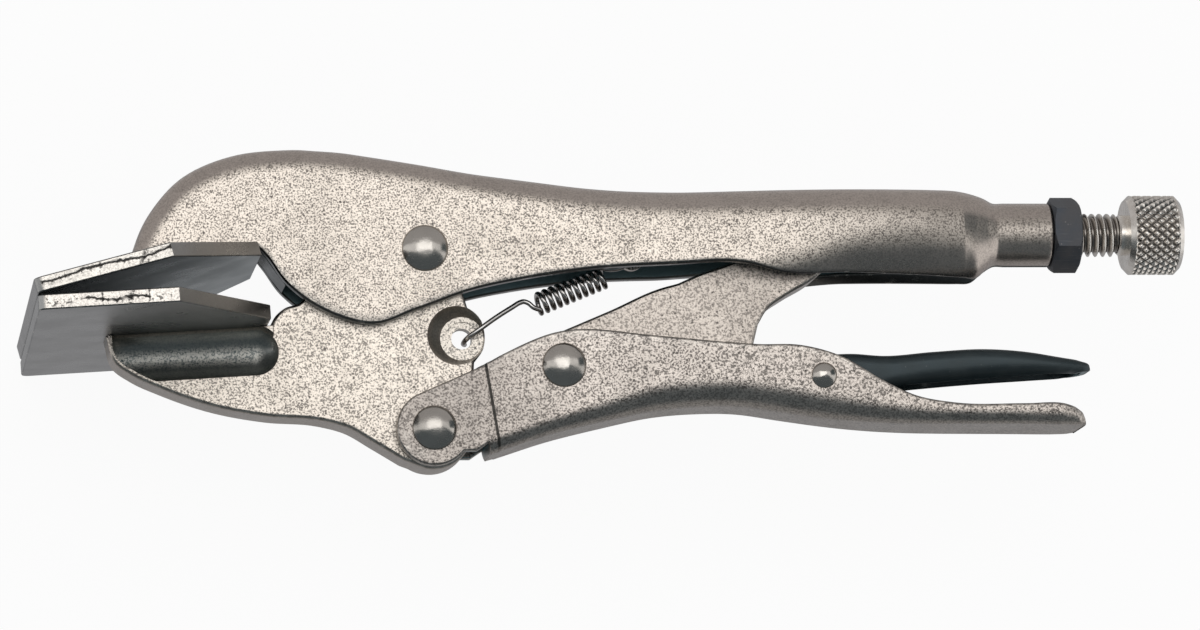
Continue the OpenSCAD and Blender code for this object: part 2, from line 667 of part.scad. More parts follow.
module lock_nut() {
    corner_r = nut_af / 2 / cos(30) + overrun;
    face_r = nut_af / 2 - nut_face_step;
    bevel = (corner_r - face_r) * tan(30);
    nut_start = tube_end + weld_gap;
    nut_end = nut_start + nut_t;
    color(blued_steel)
        difference() {
            intersection() {
                translate([nut_start, screw_rise, 0])
                    rotate([nut_turn, 0, 0]) rotate([0, 90, 0])
                        cylinder(d = nut_af / cos(30), h = nut_t, $fn = 6);
                turned([[nut_start - overrun, 0], [nut_start - overrun, face_r], [nut_start, face_r],
                        [nut_start + bevel, corner_r], [nut_end - bevel, corner_r],
                        [nut_end, face_r], [nut_end + overrun, face_r], [nut_end + overrun, 0]]);
            }
            translate([tube_end - overrun, screw_rise, 0])
                rotate([0, 90, 0]) cylinder(d = bore_d, h = nut_t + 2 * overrun + weld_gap);
        }
}

// ---- The whole tool, centred on its box ----

top_y = max([for (row = smooth_rows(upper_rows, 2)) row[1]]);
low_y = min([for (p = arc(jaw_pivot, handle_eye_r, 258, 368, 14)) p[1]]);
centre = [(knob_end + upper_top[0]) / 2, (top_y + low_y) / 2, 0];

translate(-centre) {
    upper_handle();
    upper_jaw_block();
    upper_blade();
    spring_lug();
    main_rivet();
    lower_jaw();
    lower_blade();
    lower_handle();
    jaw_rivet();
    link_rivet();
    lever_rivet();
    toggle_link();
    release_lever();
    return_spring();
    adjusting_screw();
    adjusting_knob();
    lock_nut();
}
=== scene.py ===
"""Locking pliers with wide flat jaws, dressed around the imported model.

Sizes are in millimetres about the main pivot until a piece is placed in the row frame, in metres.
X runs along the tool to the adjusting knob, Y from the lower handle to the upper one, Z across.
"""
import json
from functools import partial
from math import cos, hypot, pi, radians, sin, sqrt, tan
import bmesh
import bpy
import numpy as np
from numpy.linalg import norm
from mathutils import Matrix, Vector


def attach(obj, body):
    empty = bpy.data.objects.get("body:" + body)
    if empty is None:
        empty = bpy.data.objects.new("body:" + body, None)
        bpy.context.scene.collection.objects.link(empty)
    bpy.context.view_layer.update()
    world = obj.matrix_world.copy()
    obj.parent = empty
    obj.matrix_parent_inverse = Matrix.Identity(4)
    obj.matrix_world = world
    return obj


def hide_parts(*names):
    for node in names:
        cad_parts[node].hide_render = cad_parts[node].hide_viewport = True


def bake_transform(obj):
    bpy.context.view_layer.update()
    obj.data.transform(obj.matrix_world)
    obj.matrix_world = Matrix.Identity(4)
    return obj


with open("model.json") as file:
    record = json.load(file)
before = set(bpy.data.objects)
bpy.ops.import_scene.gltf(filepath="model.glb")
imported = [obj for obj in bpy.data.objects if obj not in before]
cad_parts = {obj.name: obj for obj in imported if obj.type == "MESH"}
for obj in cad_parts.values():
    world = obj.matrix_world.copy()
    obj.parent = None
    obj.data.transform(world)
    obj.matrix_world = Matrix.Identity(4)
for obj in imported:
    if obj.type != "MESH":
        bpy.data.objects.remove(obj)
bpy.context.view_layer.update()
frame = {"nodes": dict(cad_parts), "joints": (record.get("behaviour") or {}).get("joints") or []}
scene = bpy.context.scene
MM, TURN, WELD = 0.001, 2 * pi, 2e-6
MAIN_PIVOT = np.array({j["name"]: j for j in frame["joints"]}["jaw_open"]["pos_m"], float)

# ---- Sizes shared with the solids ----

SHEET, LOWER_SHEET, LEVER_SHEET = 2.6, 2.2, 1.6
HEAD_HALF, EAR_HALF, WALL_HALF, GRIP_HALF, LOWER_HALF = 7.3, 6.9, 8.4, 10, 9
ARM_HALF, LEVER_HALF = 4.5, 5.5
JAW_PIVOT, LINK_PIVOT, LEVER_PIVOT = (1.2, -32.6), (24.7, -21.5), (72, -23.6)
RIVET_D, LEVER_RIVET_D = 6.0, 3.2
SCREW_RISE, THREAD_R, PITCH, SHANK_R = 3.55, 3.97, 1.411, 3.3
SCREW_TIP, THREAD_START, SHANK_END, CORE_R, SCREW_WAY_R = 80, 80.95, 138.8, 3.0, 4.02
NECK_END, TUBE_END, TUBE_R = 105.6, 116.1, 5.85
NUT_START, NUT_END, NUT_FLATS, NUT_TURN = 116.15, 121.4, 12.4, 25
KNOB_START, KNOB_END, KNOB_R, BOSS = 130.3, 140.3, 7.3, 1.4
JAW_REACH, BITE_DROP, TIP_GAP = 71, 13.3, 0.3
UPPER_SLOPE, LOWER_SLOPE, BLADE_T, BLADE_DEPTH = 15, 3.3, 2.7, 42.5
JAW_HALF, BLADE_FRONT, BLADE_NECK = 40, 24.5, 13
SPRING_HOLE, LUG_CENTRE, RECESS_CENTRE = (7, -15.7), (5.3, -15.6), (5.8, -15.5)
# The radius that stands in for none, and how far a bore stands off its rivet
ON_AXIS, BORE_GAP = 0.001, 0.05


# ---- Curves and outlines ----

def along(angle, d):
    return np.array([cos(radians(angle)), sin(radians(angle))]) * d


def axes(slope):
    return along(slope, 1), along(slope + 90, 1)


def on_line(foot, slope, sink, x):
    """The point at x on a line through a foot at a slope, a little below it."""
    return np.array([x, foot[1] + (x - foot[0]) * tan(radians(slope)) - sink])


def unit(v):
    return v / norm(v, axis=-1, keepdims=True)


def quarter(steps):
    return [pi / 2 * i / steps for i in range(steps + 1)]


def arc(centre, r, start, end, steps=24):
    return [np.array(centre) + along(start + (end - start) * i / steps, r) for i in range(steps + 1)]


def gap(a, b):
    """Distance between two points, or between the two points of two rows."""
    d = b - a
    return norm(d) if len(d) != 4 else norm(d[:2]) + norm(d[2:])


def smooth(keys, steps):
    """A curve through all the key points that leaves and arrives in line with its neighbours."""
    k = [np.array(p, float) for p in keys]
    k = [2 * k[0] - k[1]] + k + [2 * k[-1] - k[-2]]
    out = []
    for p0, p1, p2, p3 in zip(k, k[1:], k[2:], k[3:]):
        d0, d1, d2 = gap(p0, p1), gap(p1, p2), gap(p2, p3)
        leave = d1 * ((p1 - p0) / d0 - (p2 - p0) / (d0 + d1)) + (p2 - p1)
        arrive = d1 * ((p3 - p2) / d2 - (p3 - p1) / (d1 + d2)) + (p2 - p1)
        for t in np.arange(steps) / steps:
            out.append((2 * t**3 - 3 * t * t + 1) * p1 + (t**3 - 2 * t * t + t) * leave
                       + (3 * t * t - 2 * t**3) * p2 + (t**3 - t * t) * arrive)
    return out + [k[-2]]


# ---- Making a piece ----

def linked(name, data):
    obj = bpy.data.objects.new(name, data)
    scene.collection.objects.link(obj)
    return obj


def marked(obj, name, values, domain="POINT"):
    obj.data.attributes.new(name, "FLOAT", domain).data.foreach_set("value", np.array(values, np.float32))


def in_mm(point):
    return (np.array(point) - MAIN_PIVOT) / MM


def new_piece(name, verts, faces, marks=None):
    """A closed mesh from points in millimetres about the main pivot. Marks are one number for each point."""
    mesh = bpy.data.meshes.new(name)
    mesh.from_pydata((np.array(verts, float) * MM + MAIN_PIVOT).tolist(), [], [list(f) for f in faces])
    obj = linked(name, mesh)
    for key, values in {**dict.fromkeys(("rim", "inside"), [0.0] * len(verts)), **(marks or {})}.items():
        marked(obj, key, values)
    b = bmesh.new()
    b.from_mesh(mesh)
    bmesh.ops.remove_doubles(b, verts=b.verts, dist=1e-7)
    bmesh.ops.recalc_face_normals(b, faces=b.faces)
    b.to_mesh(mesh)
    b.free()
    return obj


def bake(obj):
    """The modifiers' result becomes the piece's own plain mesh."""
    bpy.context.view_layer.update()
    mesh = bpy.data.meshes.new_from_object(obj.evaluated_get(bpy.context.evaluated_depsgraph_get()))
    if obj.type == "MESH":
        obj.modifiers.clear()
        obj.data = mesh
        return obj
    name = obj.name
    bpy.data.objects.remove(obj)
    return linked(name, mesh)


def boolean(obj, tools, operation="DIFFERENCE", use_self=False):
    for tool in tools:
        m = obj.modifiers.new("shape", "BOOLEAN")
        m.operation, m.solver, m.object, m.use_self = operation, "EXACT", tool, use_self
        bake(obj)
        bpy.data.objects.remove(tool)
    return obj


def ready(obj, body, slot_name, material, *nodes, crease=34):
    """Smooth shading with creases, the finish, and the piece's place in the tool."""
    obj.data.polygons.foreach_set("use_smooth", [True] * len(obj.data.polygons))
    obj.data.set_sharp_from_angle(angle=radians(crease))
    # Only pieces made from points have this mark; those grown from nodes keep their own normals
    if "rim" in obj.data.attributes:
        m = obj.modifiers.new("normals", "WEIGHTED_NORMAL")
        m.keep_sharp, m.weight = True, 100
        bake(obj)
    obj.data.materials.clear()
    obj.data.materials.append(material)
    if body:
        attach(obj, body)
    if nodes:
        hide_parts(*nodes)
    return obj


def skin(rings, cap=True):
    """Points and faces over closed rings of as many points each, with or without flat ends."""
    n = len(rings[0])
    last = (len(rings) - 1) * n
    faces = [[i + j, i + (j + 1) % n, i + n + (j + 1) % n, i + n + j] for i in range(0, last, n) for j in range(n)]
    if cap:
        faces += [list(range(n - 1, -1, -1)), [last + j for j in range(n)]]
    return [p for r in rings for p in r], faces


def tidy_outline(outline):
    """The outline run anticlockwise, without repeated points."""
    p = [np.array(q, float) for q in outline]
    p = [q for q, before in zip(p, p[-1:] + p) if gap(before, q) > 0.03]
    area = sum(a[0] * b[1] - b[0] * a[1] for a, b in zip(p, p[1:] + p[:1]))
    return np.array(p if area > 0 else p[::-1])


def drawn_in(outline, d):
    """The outline drawn in by d, corner by corner."""
    before, after = unit(outline - np.roll(outline, 1, 0)), unit(np.roll(outline, -1, 0) - outline)
    inward = unit(np.stack([-(before + after)[:, 1], (before + after)[:, 0]], 1))
    share = np.clip(inward[:, 1] * before[:, 0] - inward[:, 0] * before[:, 1], 0.6, 1)
    return outline + inward * (d / share)[:, None]


def plate(name, outline, low, high, edge=0.6, steps=4, place=None, marks=None):
    """A plate with rounded rims, from its outline and its two faces' heights, with marks made by formulas."""
    outline = tidy_outline(outline)
    turns = quarter(steps)
    levels = [(edge * (1 - sin(a)), face + way * edge * (1 - cos(a)), sin(a))
              for face, way, run in ((low, 1, turns), (high, -1, turns[::-1])) for a in run]
    rings = [[(x, y, z) for x, y in drawn_in(outline, d)] for d, z, _ in levels]
    rim = [1 - abs(2 * s - 1) for _, _, s in levels for _ in outline]
    verts, faces = skin(rings)
    marks = {key: [formula(v) for v in verts] for key, formula in (marks or {}).items()}
    return new_piece(name, [place(v) for v in verts] if place else verts, faces, {"rim": rim, **marks})


def cutter(*circles, sides=96):
    """A round cutting tool through circles of (centre, radius, height)."""
    rings = [[(*(np.array(c) + along(360 * i / sides, r)), z) for i in range(sides)] for c, r, z in circles]
    return new_piece("cutter", *skin(rings))


def bar(centre, r, low, high):
    return cutter((centre, r, low), (centre, r, high))


def bored(obj, *holes, reach=14, use_self=False):
    return boolean(obj, [bar(c, d / 2 + BORE_GAP, -reach, reach) for c, d in holes], use_self=use_self)


def mark_faces(obj, name, chosen):
    """A mark of 1 on the faces that are chosen by their centre and normal."""
    marked(obj, name, [float(chosen(in_mm(f.center), f.normal)) for f in obj.data.polygons], "FACE")


def remarked(obj, formula):
    """The inside marks (painted shade) worked out again after the cuts, from each point's place and its present mark.
    """
    for v, mark in zip(obj.data.vertices, obj.data.attributes["inside"].data):
        mark.value = formula(in_mm(v.co), mark.value)


def shaded(obj, start, end, share):
    """A mark of painted shade that grows along the tool from 0 at one place to a share at another."""
    x = [(v.co[0] - MAIN_PIVOT[0]) / MM for v in obj.data.vertices]
    marked(obj, "shade", np.clip((np.array(x) - start) / (end - start), 0, 1) * share)


def turned(name, *profile, sides=96):
    """A profile of (distance along the screw, radius) turned about its axis, with ends on the axis."""
    angles = [TURN * i / sides for i in range(sides)]
    start, end = ((x, ON_AXIS) for x, _ in (profile[0], profile[-1]))
    rings = [[(x, SCREW_RISE + r * cos(a), r * sin(a)) for a in angles]
             for x, r in (start, *(p for p in profile if p != start), end)]
    return new_piece(name, *skin(rings))


# ---- Pressed sheet ----
# A shell runs through rows of (spine x, y, edge x, y, half width, bend radius, roll radius, roll angle).

def sheet_rows(roll, *rows):
    """Rows from (spine, edge, half width, bend radius), and from a roll radius and angle where they differ."""
    return [[*spine, *edge, *sizes, *(roll, 0)[len(sizes) - 2:]] for spine, edge, *sizes in rows]


def smooth_rows(keys, steps):
    rows = []
    for i, p in enumerate(smooth([k[:4] for k in keys], steps)):
        k = min(i // steps, len(keys) - 2)
        t = i / steps - k
        rows.append(list(p) + [keys[k][j] * (1 - t) + keys[k + 1][j] * t for j in range(4, 8)])
    return rows


def side_profile(row, depth, wall_steps, bend_steps, trim=0.0):
    """One side of the sheet, from its edge less a trim, as (distance from the spine, half width)."""
    length = hypot(row[2] - row[0], row[3] - row[1])
    half, bend, roll, angle = row[4:8]
    start = length - roll * sin(radians(angle))
    turns = np.radians(np.linspace(angle, 0, 25)) if angle > 0 else np.zeros(1)
    wall = np.array([(start + (roll - depth) * sin(a), half - roll + (roll - depth) * cos(a)) for a in turns]
                    + [(min(bend, start - 0.01), half - depth)])
    run = np.concatenate([[0], np.cumsum(norm(np.diff(wall, axis=0), axis=1))])
    at = np.linspace(trim, run[-1], wall_steps + 1)[:-1]
    wall = np.stack([np.interp(at, run, wall[:, 0]), np.interp(at, run, wall[:, 1])], 1)
    return list(wall) + [np.array((bend - (bend - depth) * sin(a), half - bend + (bend - depth) * cos(a)))
                         for a in quarter(bend_steps)]


def shell_ring(row, sheet, depth, rim, steps):
    """One closed ring of the sheet's section with rounded rims, and its rim marks."""
    edges = [side_profile(row, d, *steps)[0] for d in (depth, sheet - depth)]
    a = radians(row[7])
    ahead, across = np.array([cos(a), -sin(a)]), edges[1] - edges[0]
    r = min(rim, norm(across) / 2 - 0.02)
    across /= norm(across)
    outer, inner = ([p + r * (side - ahead + ahead * cos(a) - side * sin(a)) for a in quarter(3)]
                    + side_profile(row, d, *steps, trim=r)[1:]
                    for p, side, d in ((edges[0], across, depth), (edges[1], -across, sheet - depth)))
    section = ([(d, w) for d, w in outer] + [(d, -w) for d, w in outer[::-1]]
               + [(d, -w) for d, w in inner] + [(d, w) for d, w in inner[::-1]])
    mark = [1, 1, 1, 0.6] + [0] * (len(outer) - 4)
    # The inner face gets the inside mark, which the finishes turn into painted shade.
    hidden = [0] * 2 * len(outer) + [0, 0, 0.3] + [1] * (2 * len(inner) - 6) + [0.3, 0, 0]
    spine, out = np.array(row[:2]), np.array(row[2:4]) - np.array(row[:2])
    out /= norm(out)
    return [(*(spine + d * out), w) for d, w in section], list(zip(mark + mark[::-1] + mark + mark[::-1], hidden))


def pressed_shell(name, keys, sheet, steps=8, wall_steps=8, bend_steps=10, rim=0.5, ends=(0.3, 0.3)):
    rows, shape = smooth_rows(keys, steps), (wall_steps, bend_steps)
    made = [shell_ring(r, sheet, 0, rim, shape) for r in rows]

    def tip(row, beside, e):
        """The sheet's rounded end, as rings that are drawn in on all sides."""
        out = unit(np.array(row[2:4]) - row[:2])
        back = np.array([out[1], -out[0], 0])
        back *= np.sign(back[:2] @ (np.array(beside[:2]) - row[:2]))
        rings = [(shell_ring(row, sheet, e * (1 - cos(a)), rim, shape), back * e * (1 - sin(a)))
                 for a in np.radians((0, 30, 60, 90))]
        return [([tuple(p + move) for p in ring], mark) for (ring, mark), move in rings]
    made = tip(rows[0], rows[1], ends[0])[::-1] + made[1:-1] + tip(rows[-1], rows[-2], ends[1])
    rings, marks = [m[0] for m in made], [v for m in made for v in m[1]]
    verts, faces = skin(rings, cap=False)
    n, last = len(rings[0]), (len(rings) - 1) * len(rings[0])
    for j in range(n // 2 - 1):
        strip = [j, j + 1, n - 2 - j, n - 1 - j]
        faces += [strip[::-1], [last + i for i in strip]]
    return new_piece(name, verts, faces, {"rim": [m[0] for m in marks], "inside": [m[1] for m in marks]})


# ---- Node formulas, for shapes and finishes alike ----

class Work:
    """The node tree that is being built."""
    tree = None


class Value:
    """A socket that can be used in a formula."""

    def __init__(self, socket):
        self.socket = socket


for key, kind in dict(add="ADD", sub="SUBTRACT", mul="MULTIPLY", truediv="DIVIDE", gt="GREATER_THAN").items():
    setattr(Value, f"__{key}__", lambda a, b, kind=kind: maths(kind, a, b))
    setattr(Value, f"__r{key}__", lambda a, b, kind=kind: maths(kind, b, a))


def feed(node, inputs):
    """A node's inputs, by name or number, take values or the sockets of other nodes."""
    for key, value in inputs.items():
        if isinstance(value, Value):
            Work.tree.links.new(value.socket, node.inputs[key])
        elif value is not None:
            node.inputs[key].default_value = value


def add_node(kind, inputs=None, **settings):
    node = Work.tree.nodes.new(kind)
    for key, value in settings.items():
        setattr(node, key, value)
    feed(node, inputs or {})
    return node


def value_of(kind, inputs=None, output=0, **settings):
    """One output of a new node."""
    return Value(add_node(kind, inputs, **settings).outputs[output])


def maths(operation, *values):
    return value_of("ShaderNodeMath", dict(enumerate(values)), operation=operation)


def between(v, low, high, to_low=0.0, to_high=1.0):
    """A smooth change from one value to another while v runs from low to high."""
    return value_of("ShaderNodeMapRange", {0: v, 1: low, 2: high, 3: to_low, 4: to_high},
                    interpolation_type="SMOOTHSTEP")


sine, cosine, fraction, size_of, least, most = (
    partial(maths, kind) for kind in ("SINE", "COSINE", "FRACT", "ABSOLUTE", "MINIMUM", "MAXIMUM"))


def limited(v, low=0.0, high=1.0):
    return least(most(v, low), high)


# ---- Geometry Nodes ----

GEOMETRY, MATERIAL = "NodeSocketGeometry", "NodeSocketMaterial"
RIVET_SIZES = ("Centre X", "Centre Y", "Head radius", "Head height", "Shank radius", "Seat")


def new_tree(name, sizes, kind="GeometryNodeTree", outputs=("Geometry",), output_kind=GEOMETRY):
    """A node tree is started, with named inputs and outputs. What its inputs hold, by name."""
    Work.tree = bpy.data.node_groups.new(name, kind)
    sockets = Work.tree.interface
    for key, default in sizes.items():
        is_kind = isinstance(default, str)
        s = sockets.new_socket(name=key, in_out="INPUT", socket_type=default if is_kind else
                               "NodeSocketInt" if isinstance(default, int) else "NodeSocketFloat")
        if not is_kind:
            s.default_value = default
    for key in outputs:
        sockets.new_socket(name=key, in_out="OUTPUT", socket_type=output_kind)
    return {s.name: Value(s) for s in add_node("NodeGroupInput").outputs if s.name}


def end_shape(geometry, finish=None):
    """The tree's result, as plain geometry with its finish."""
    if finish:
        real = value_of("GeometryNodeRealizeInstances", {0: geometry})
        geometry = value_of("GeometryNodeSetMaterial", {"Geometry": real, "Material": finish})
    add_node("NodeGroupOutput", {0: geometry})
    return Work.tree


def grown(name, build, sizes, finish, source=None):
    """A plain mesh piece from a tree built with these inputs, which are then set by their identifiers."""
    tree = build(sizes)
    obj = linked(name, source or bpy.data.meshes.new(name))
    m = obj.modifiers.new("shape", "NODES")
    m.node_group = tree
    given = {**sizes, "Finish": finish}
    for item in tree.interface.items_tree:
        if item.item_type == "SOCKET" and item.in_out == "INPUT" and item.name in given:
            m[item.identifier] = given[item.name]
    obj = bake(obj)
    obj.data.transform(Matrix.Translation(Vector(MAIN_PIVOT)))
    return obj


def sheet_grid(rows, columns, place):
    """A grid whose points go where a formula of its two shares, each from 0 to 1, sends them."""
    geometry = value_of("GeometryNodeMeshGrid", {
        "Size X": 1.0, "Size Y": 1.0, "Vertices X": rows, "Vertices Y": columns})
    at = add_node("ShaderNodeSeparateXYZ", {0: value_of("GeometryNodeInputPosition")})
    x, y, z, mark = place(Value(at.outputs[0]) + 0.5, Value(at.outputs[1]) + 0.5)
    if mark is not None:
        geometry = value_of("GeometryNodeStoreNamedAttribute", {"Geometry": geometry, "Name": "height", "Value": mark},
                            data_type="FLOAT", domain="POINT")
    to = value_of("ShaderNodeCombineXYZ", {0: x, 1: y, 2: z})
    return value_of("GeometryNodeSetPosition", {"Geometry": geometry, "Position": to})


def joined(parts):
    join = add_node("GeometryNodeJoinGeometry")
    for p in parts:
        feed(join, {0: p})
    return Value(join.outputs[0])


def welded(parts):
    return value_of("GeometryNodeMergeByDistance", {"Geometry": joined(parts[::-1]), "Distance": WELD})


def about_screw(v, outside, *lines):
    """A closed piece about the screw's axis: a grid, and plain strips along lines of (x, radius) points."""
    def around(rows, formula):
        def place(share, round_share):
            angle = round_share * TURN
            x, r, height = formula(share, round_share)
            return x, v["Axis rise"] + r * cosine(angle), r * sine(angle), height
        return sheet_grid(rows, v["Sides"], place)

    def strip(a, b):
        return around(2, lambda share, _: (*(p + share * (q - p) for p, q in zip(a, b)), share * 0.0 + 1.0))
    parts = [around(v["Rows"], outside)] + [strip(a, b) for line in lines for a, b in zip(line, line[1:])]
    return end_shape(value_of("GeometryNodeFlipFaces", {0: welded(parts)}), v["Finish"])


def rolled_thread_tree(sizes):
    """A screw thread as a sleeve: a grid whose rows follow the helix, and a plain bore inside it."""
    v = new_tree("rolled thread", {**sizes, "Finish": MATERIAL})
    start, end, pitch, bore = (v[key] for key in ("Start", "End", "Pitch", "Bore radius"))

    def outside(share, round_share):
        base = start - pitch + share * (end - start + pitch)
        x = limited(base + round_share * pitch, start, end)
        flank = limited((size_of(2 * fraction(base / pitch) - 1) - 0.2) / 0.62)
        height = flank * (limited((x - start) / v["Lead in"]) * limited((end - x) / (0.5 * v["Lead in"])))
        return x, v["Crest radius"] - v["Depth"] * (1 - height), height
    root = v["Crest radius"] - v["Depth"]
    return about_screw(v, outside, ((end, root), (end, bore), (start, bore), (start, root)))


def knurled_knob_tree(sizes):
    """A knob with a diamond knurl, two crossing helices of ridges, chamfered ends and a blind bore."""
    v = new_tree("knurled knob", {**sizes, "Finish": MATERIAL})
    start, end, radius, chamfer, boss, bore, bore_end = (v[key] for key in (
        "Start", "End", "Radius", "Chamfer", "Boss radius", "Bore radius", "Bore end"))

    def outside(share, round_share):
        x = start + chamfer + share * (end - start - 2 * chamfer)
        turns, run = round_share * v["Starts"], (x - start) / v["Ridge run"]
        ridge = least(size_of(2 * fraction(turns + run) - 1), size_of(2 * fraction(turns - run + 40) - 1))
        height = 1 - limited(share * 22) * limited((1 - share) * 22) * (1 - limited(ridge * 1.5))
        return x, radius - v["Depth"] * (1 - height), height
    boss_end, on_axis = start - v["Boss length"], v["Axis rise"] * 0
    return about_screw(v, outside, ((end - chamfer, radius), (end, radius - chamfer), (end, on_axis)), (
        (bore_end, on_axis), (bore_end, bore), (boss_end, bore), (boss_end, boss - v["Boss chamfer"]),
        (boss_end + v["Boss chamfer"], boss), (start, boss), (start, radius - chamfer), (start + chamfer, radius)))


def domed_rivet_tree():
    """One rivet across the tool: two domed heads on a plain shank, with faint hammer flats on the domes."""
    v = new_tree("domed rivet", {**dict.fromkeys(RIVET_SIZES, 0.0), "Seed": 0.0, "Sides": 65})
    dome_angle, foot_share = 1.15, 0.965

    def place(share, round_share):
        angle = round_share * TURN
        side = 1 - 2 * (share > 0.5)
        inward = 1 - size_of(2 * share - 1)
        lean, under = limited(inward / 0.8), limited((inward - 0.8) / 0.15)
        dome = sine(lean * dome_angle) / sin(dome_angle)
        rise = (cosine(lean * dome_angle) - cos(dome_angle)) / (1 - cos(dome_angle))
        foot = between(lean, 0.9, 1.0, 1.0, foot_share)
        spot = value_of("ShaderNodeCombineXYZ", {
            0: dome * cosine(angle) * 1.4, 1: dome * sine(angle) * 1.4, 2: v["Seed"] + side})
        dent = value_of("ShaderNodeTexNoise", {"Vector": spot, "Scale": 1.0, "Detail": 1.0})
        flat = (dent - 0.5) * 0.12 * (1 - lean)
        r = v["Head radius"] * dome * foot - under * (v["Head radius"] * foot_share - v["Shank radius"])
        z = side * (v["Seat"] + v["Head height"] * limited(rise * (0.97 + flat)))
        return v["Centre X"] + r * cosine(angle), v["Centre Y"] + r * sine(angle), z, None
    return end_shape(welded([sheet_grid(48, v["Sides"], place)]))


def rivet_set_tree(name, rivets, one, _):
    """All the rivets of one body, from (centre, head radius, head height, shank radius, seat)."""
    v = new_tree(name, {"Finish": MATERIAL})
    given = [{"Seed": 3.7 * i, **{key: n * MM for key, n in zip(RIVET_SIZES, (*centre, *sizes))}}
             for i, (centre, *sizes) in enumerate(rivets)]
    return end_shape(joined([value_of("GeometryNodeGroup", g, node_tree=one) for g in given]), v["Finish"])


def wire_tree(sizes):
    """A round wire swept along the curve it is given."""
    v = new_tree("spring wire", {"Path": GEOMETRY, **sizes, "Finish": MATERIAL})
    section = value_of("GeometryNodeCurvePrimitiveCircle", {"Resolution": v["Sides"], "Radius": v["Wire radius"]})
    return end_shape(value_of("GeometryNodeCurveToMesh", {
        "Curve": v["Path"], "Profile Curve": section, "Fill Caps": True}), v["Finish"])


# ---- Finishes ----

def shared_effect(name, inputs, outputs, build):
    add_node("NodeGroupOutput", build(new_tree(name, inputs, "ShaderNodeTree", outputs, "NodeSocketFloat")))
    return Work.tree


def own_place(): return value_of("ShaderNodeTexCoord", output="Object")
def mark_of(name): return value_of("ShaderNodeAttribute", output="Fac", attribute_name=name)


def noise(size_mm, detail=3.0, stretch=(1, 1, 1), seed=0.0, rough=0.55):
    """Noise whose marks are about size_mm across, longer along an axis whose stretch is below 1."""
    at = value_of("ShaderNodeMapping", {
        "Vector": own_place(), "Location": (seed, seed * 0.7, seed * 1.3), "Scale": stretch})
    return value_of("ShaderNodeTexNoise", {"Vector": at, "Scale": 1000 / size_mm, "Detail": detail, "Roughness": rough})


def blasted_grain(v):
    """Fine pebbles: their height, painted shade in the hollows, a painted glint on the crowns, and a scatter of pits.
    """
    fine = noise(v["Grain mm"] * 0.74, detail=2.0, seed=0.3, rough=0.6)
    wide = noise(v["Grain mm"] * 4, detail=2.0, seed=0.8)
    level = fine + (wide - 0.5) * 0.2
    cell = add_node("ShaderNodeTexVoronoi", {"Vector": own_place(), "Scale": 620 / v["Grain mm"]}, feature="F1")
    chosen = value_of("ShaderNodeSeparateColor", {0: Value(cell.outputs["Color"])})
    pit = (1 - between(Value(cell.outputs[0]), 0.16, 0.38)) * between(chosen, 1 - v["Pits"], 1.02 - v["Pits"])
    return {"Height": limited(level - pit * 0.4), "Pit": pit, "Hollow": 1 - between(level, 0.39, 0.54),
            "Crown": between(level, 0.56, 0.7)}


def edge_wear(v):
    """Where the sheet's rounded rims are rubbed, in broken patches; also the rim mark, used for painted shade on rims.
    """
    rim, broken = mark_of("rim"), noise(1.6, detail=4.0, seed=0.9)
    return {"Mask": limited(rim * between(broken, 0.6 - v["Amount"] * 0.4, 0.75 - v["Amount"] * 0.4)), "Rim": rim}


def handling(v):
    """Large soft blotches, and thin rubbed lines along the tool."""
    lines = noise(0.25, detail=2.0, stretch=(0.05, 1, 1), seed=0.6)
    return {"Blotch": between(noise(v["Blotch mm"], seed=0.2), 0.3, 0.7), "Rubbed": between(lines, 0.62, 0.74)}


def facing(v):
    """How squarely a surface faces across the tool, which tells flat faces from bends and backs."""
    normal = value_of("ShaderNodeTexCoord", output="Normal")
    return {"Face": between(size_of(value_of("ShaderNodeSeparateXYZ", {0: normal}, 2)), v["From"], v["To"])}


def torn_edge(v):
    """The sheared edge of thick plate: a long split along it, short cross cracks and torn hollows."""
    drift, tear = noise(5.0, seed=0.7), noise(0.8, detail=5.0, seed=0.4, rough=0.65)
    off = size_of(mark_of("across") - v["Split at"] + (drift - 0.5) * 0.9 + (tear - 0.5) * 0.3)
    broken = between(noise(6.0, detail=2.0, seed=0.1), v["Split from"], v["Split from"] + 0.06)
    split = (1 - between(off, 0.02, 0.11)) * broken
    hollow = (1 - between(off, 0.12, 0.42)) * between(tear, 0.53, 0.66) * (1 - broken * 0.5)
    drawn = value_of("ShaderNodeMapping", {"Vector": own_place(), "Scale": (1.0, 0.15, 0.6)})
    cell = value_of("ShaderNodeTexVoronoi", {"Vector": drawn, "Scale": 130.0}, feature="DISTANCE_TO_EDGE")
    crack = (1 - between(cell, 0.0, 0.035)) * between(tear, 0.44, 0.56)
    return {"Height": limited(tear * 0.5 - split * 0.5 - hollow * 0.4 - crack * 0.4 + 0.5),
            "Dark": limited(split + hollow * 0.75 + crack * 0.8)}


EFFECTS = {name: shared_effect(name, inputs, outputs, build) for name, inputs, outputs, build in (
    ("grain", {"Grain mm": 0.4, "Pits": 0.05}, ["Height", "Pit", "Hollow", "Crown"], blasted_grain),
    ("wear", {"Amount": 0.5}, ["Mask", "Rim"], edge_wear),
    ("handling", {"Blotch mm": 9.0}, ["Blotch", "Rubbed"], handling),
    ("facing", {"From": 0.8, "To": 0.97}, ["Face"], facing),
    ("torn edge", {"Split at": 0.55, "Split from": 0.5}, ["Height", "Dark"], torn_edge))}


def effect(name, **values):
    node = add_node("ShaderNodeGroup", {k.replace("_", " "): n for k, n in values.items()}, node_tree=EFFECTS[name])
    return {s.name: Value(s) for s in node.outputs}


def mixed(share, a, b):
    a, b = ((*c, 1) if isinstance(c, tuple) else c for c in (a, b))
    return value_of("ShaderNodeMix", {0: share, 6: a, 7: b}, 2, data_type="RGBA")


def tinted(colour, *layers):
    """Layers of (share, tint) over a colour, the first lowest."""
    for share, tint in layers:
        colour = mixed(share, colour, tint)
    return colour


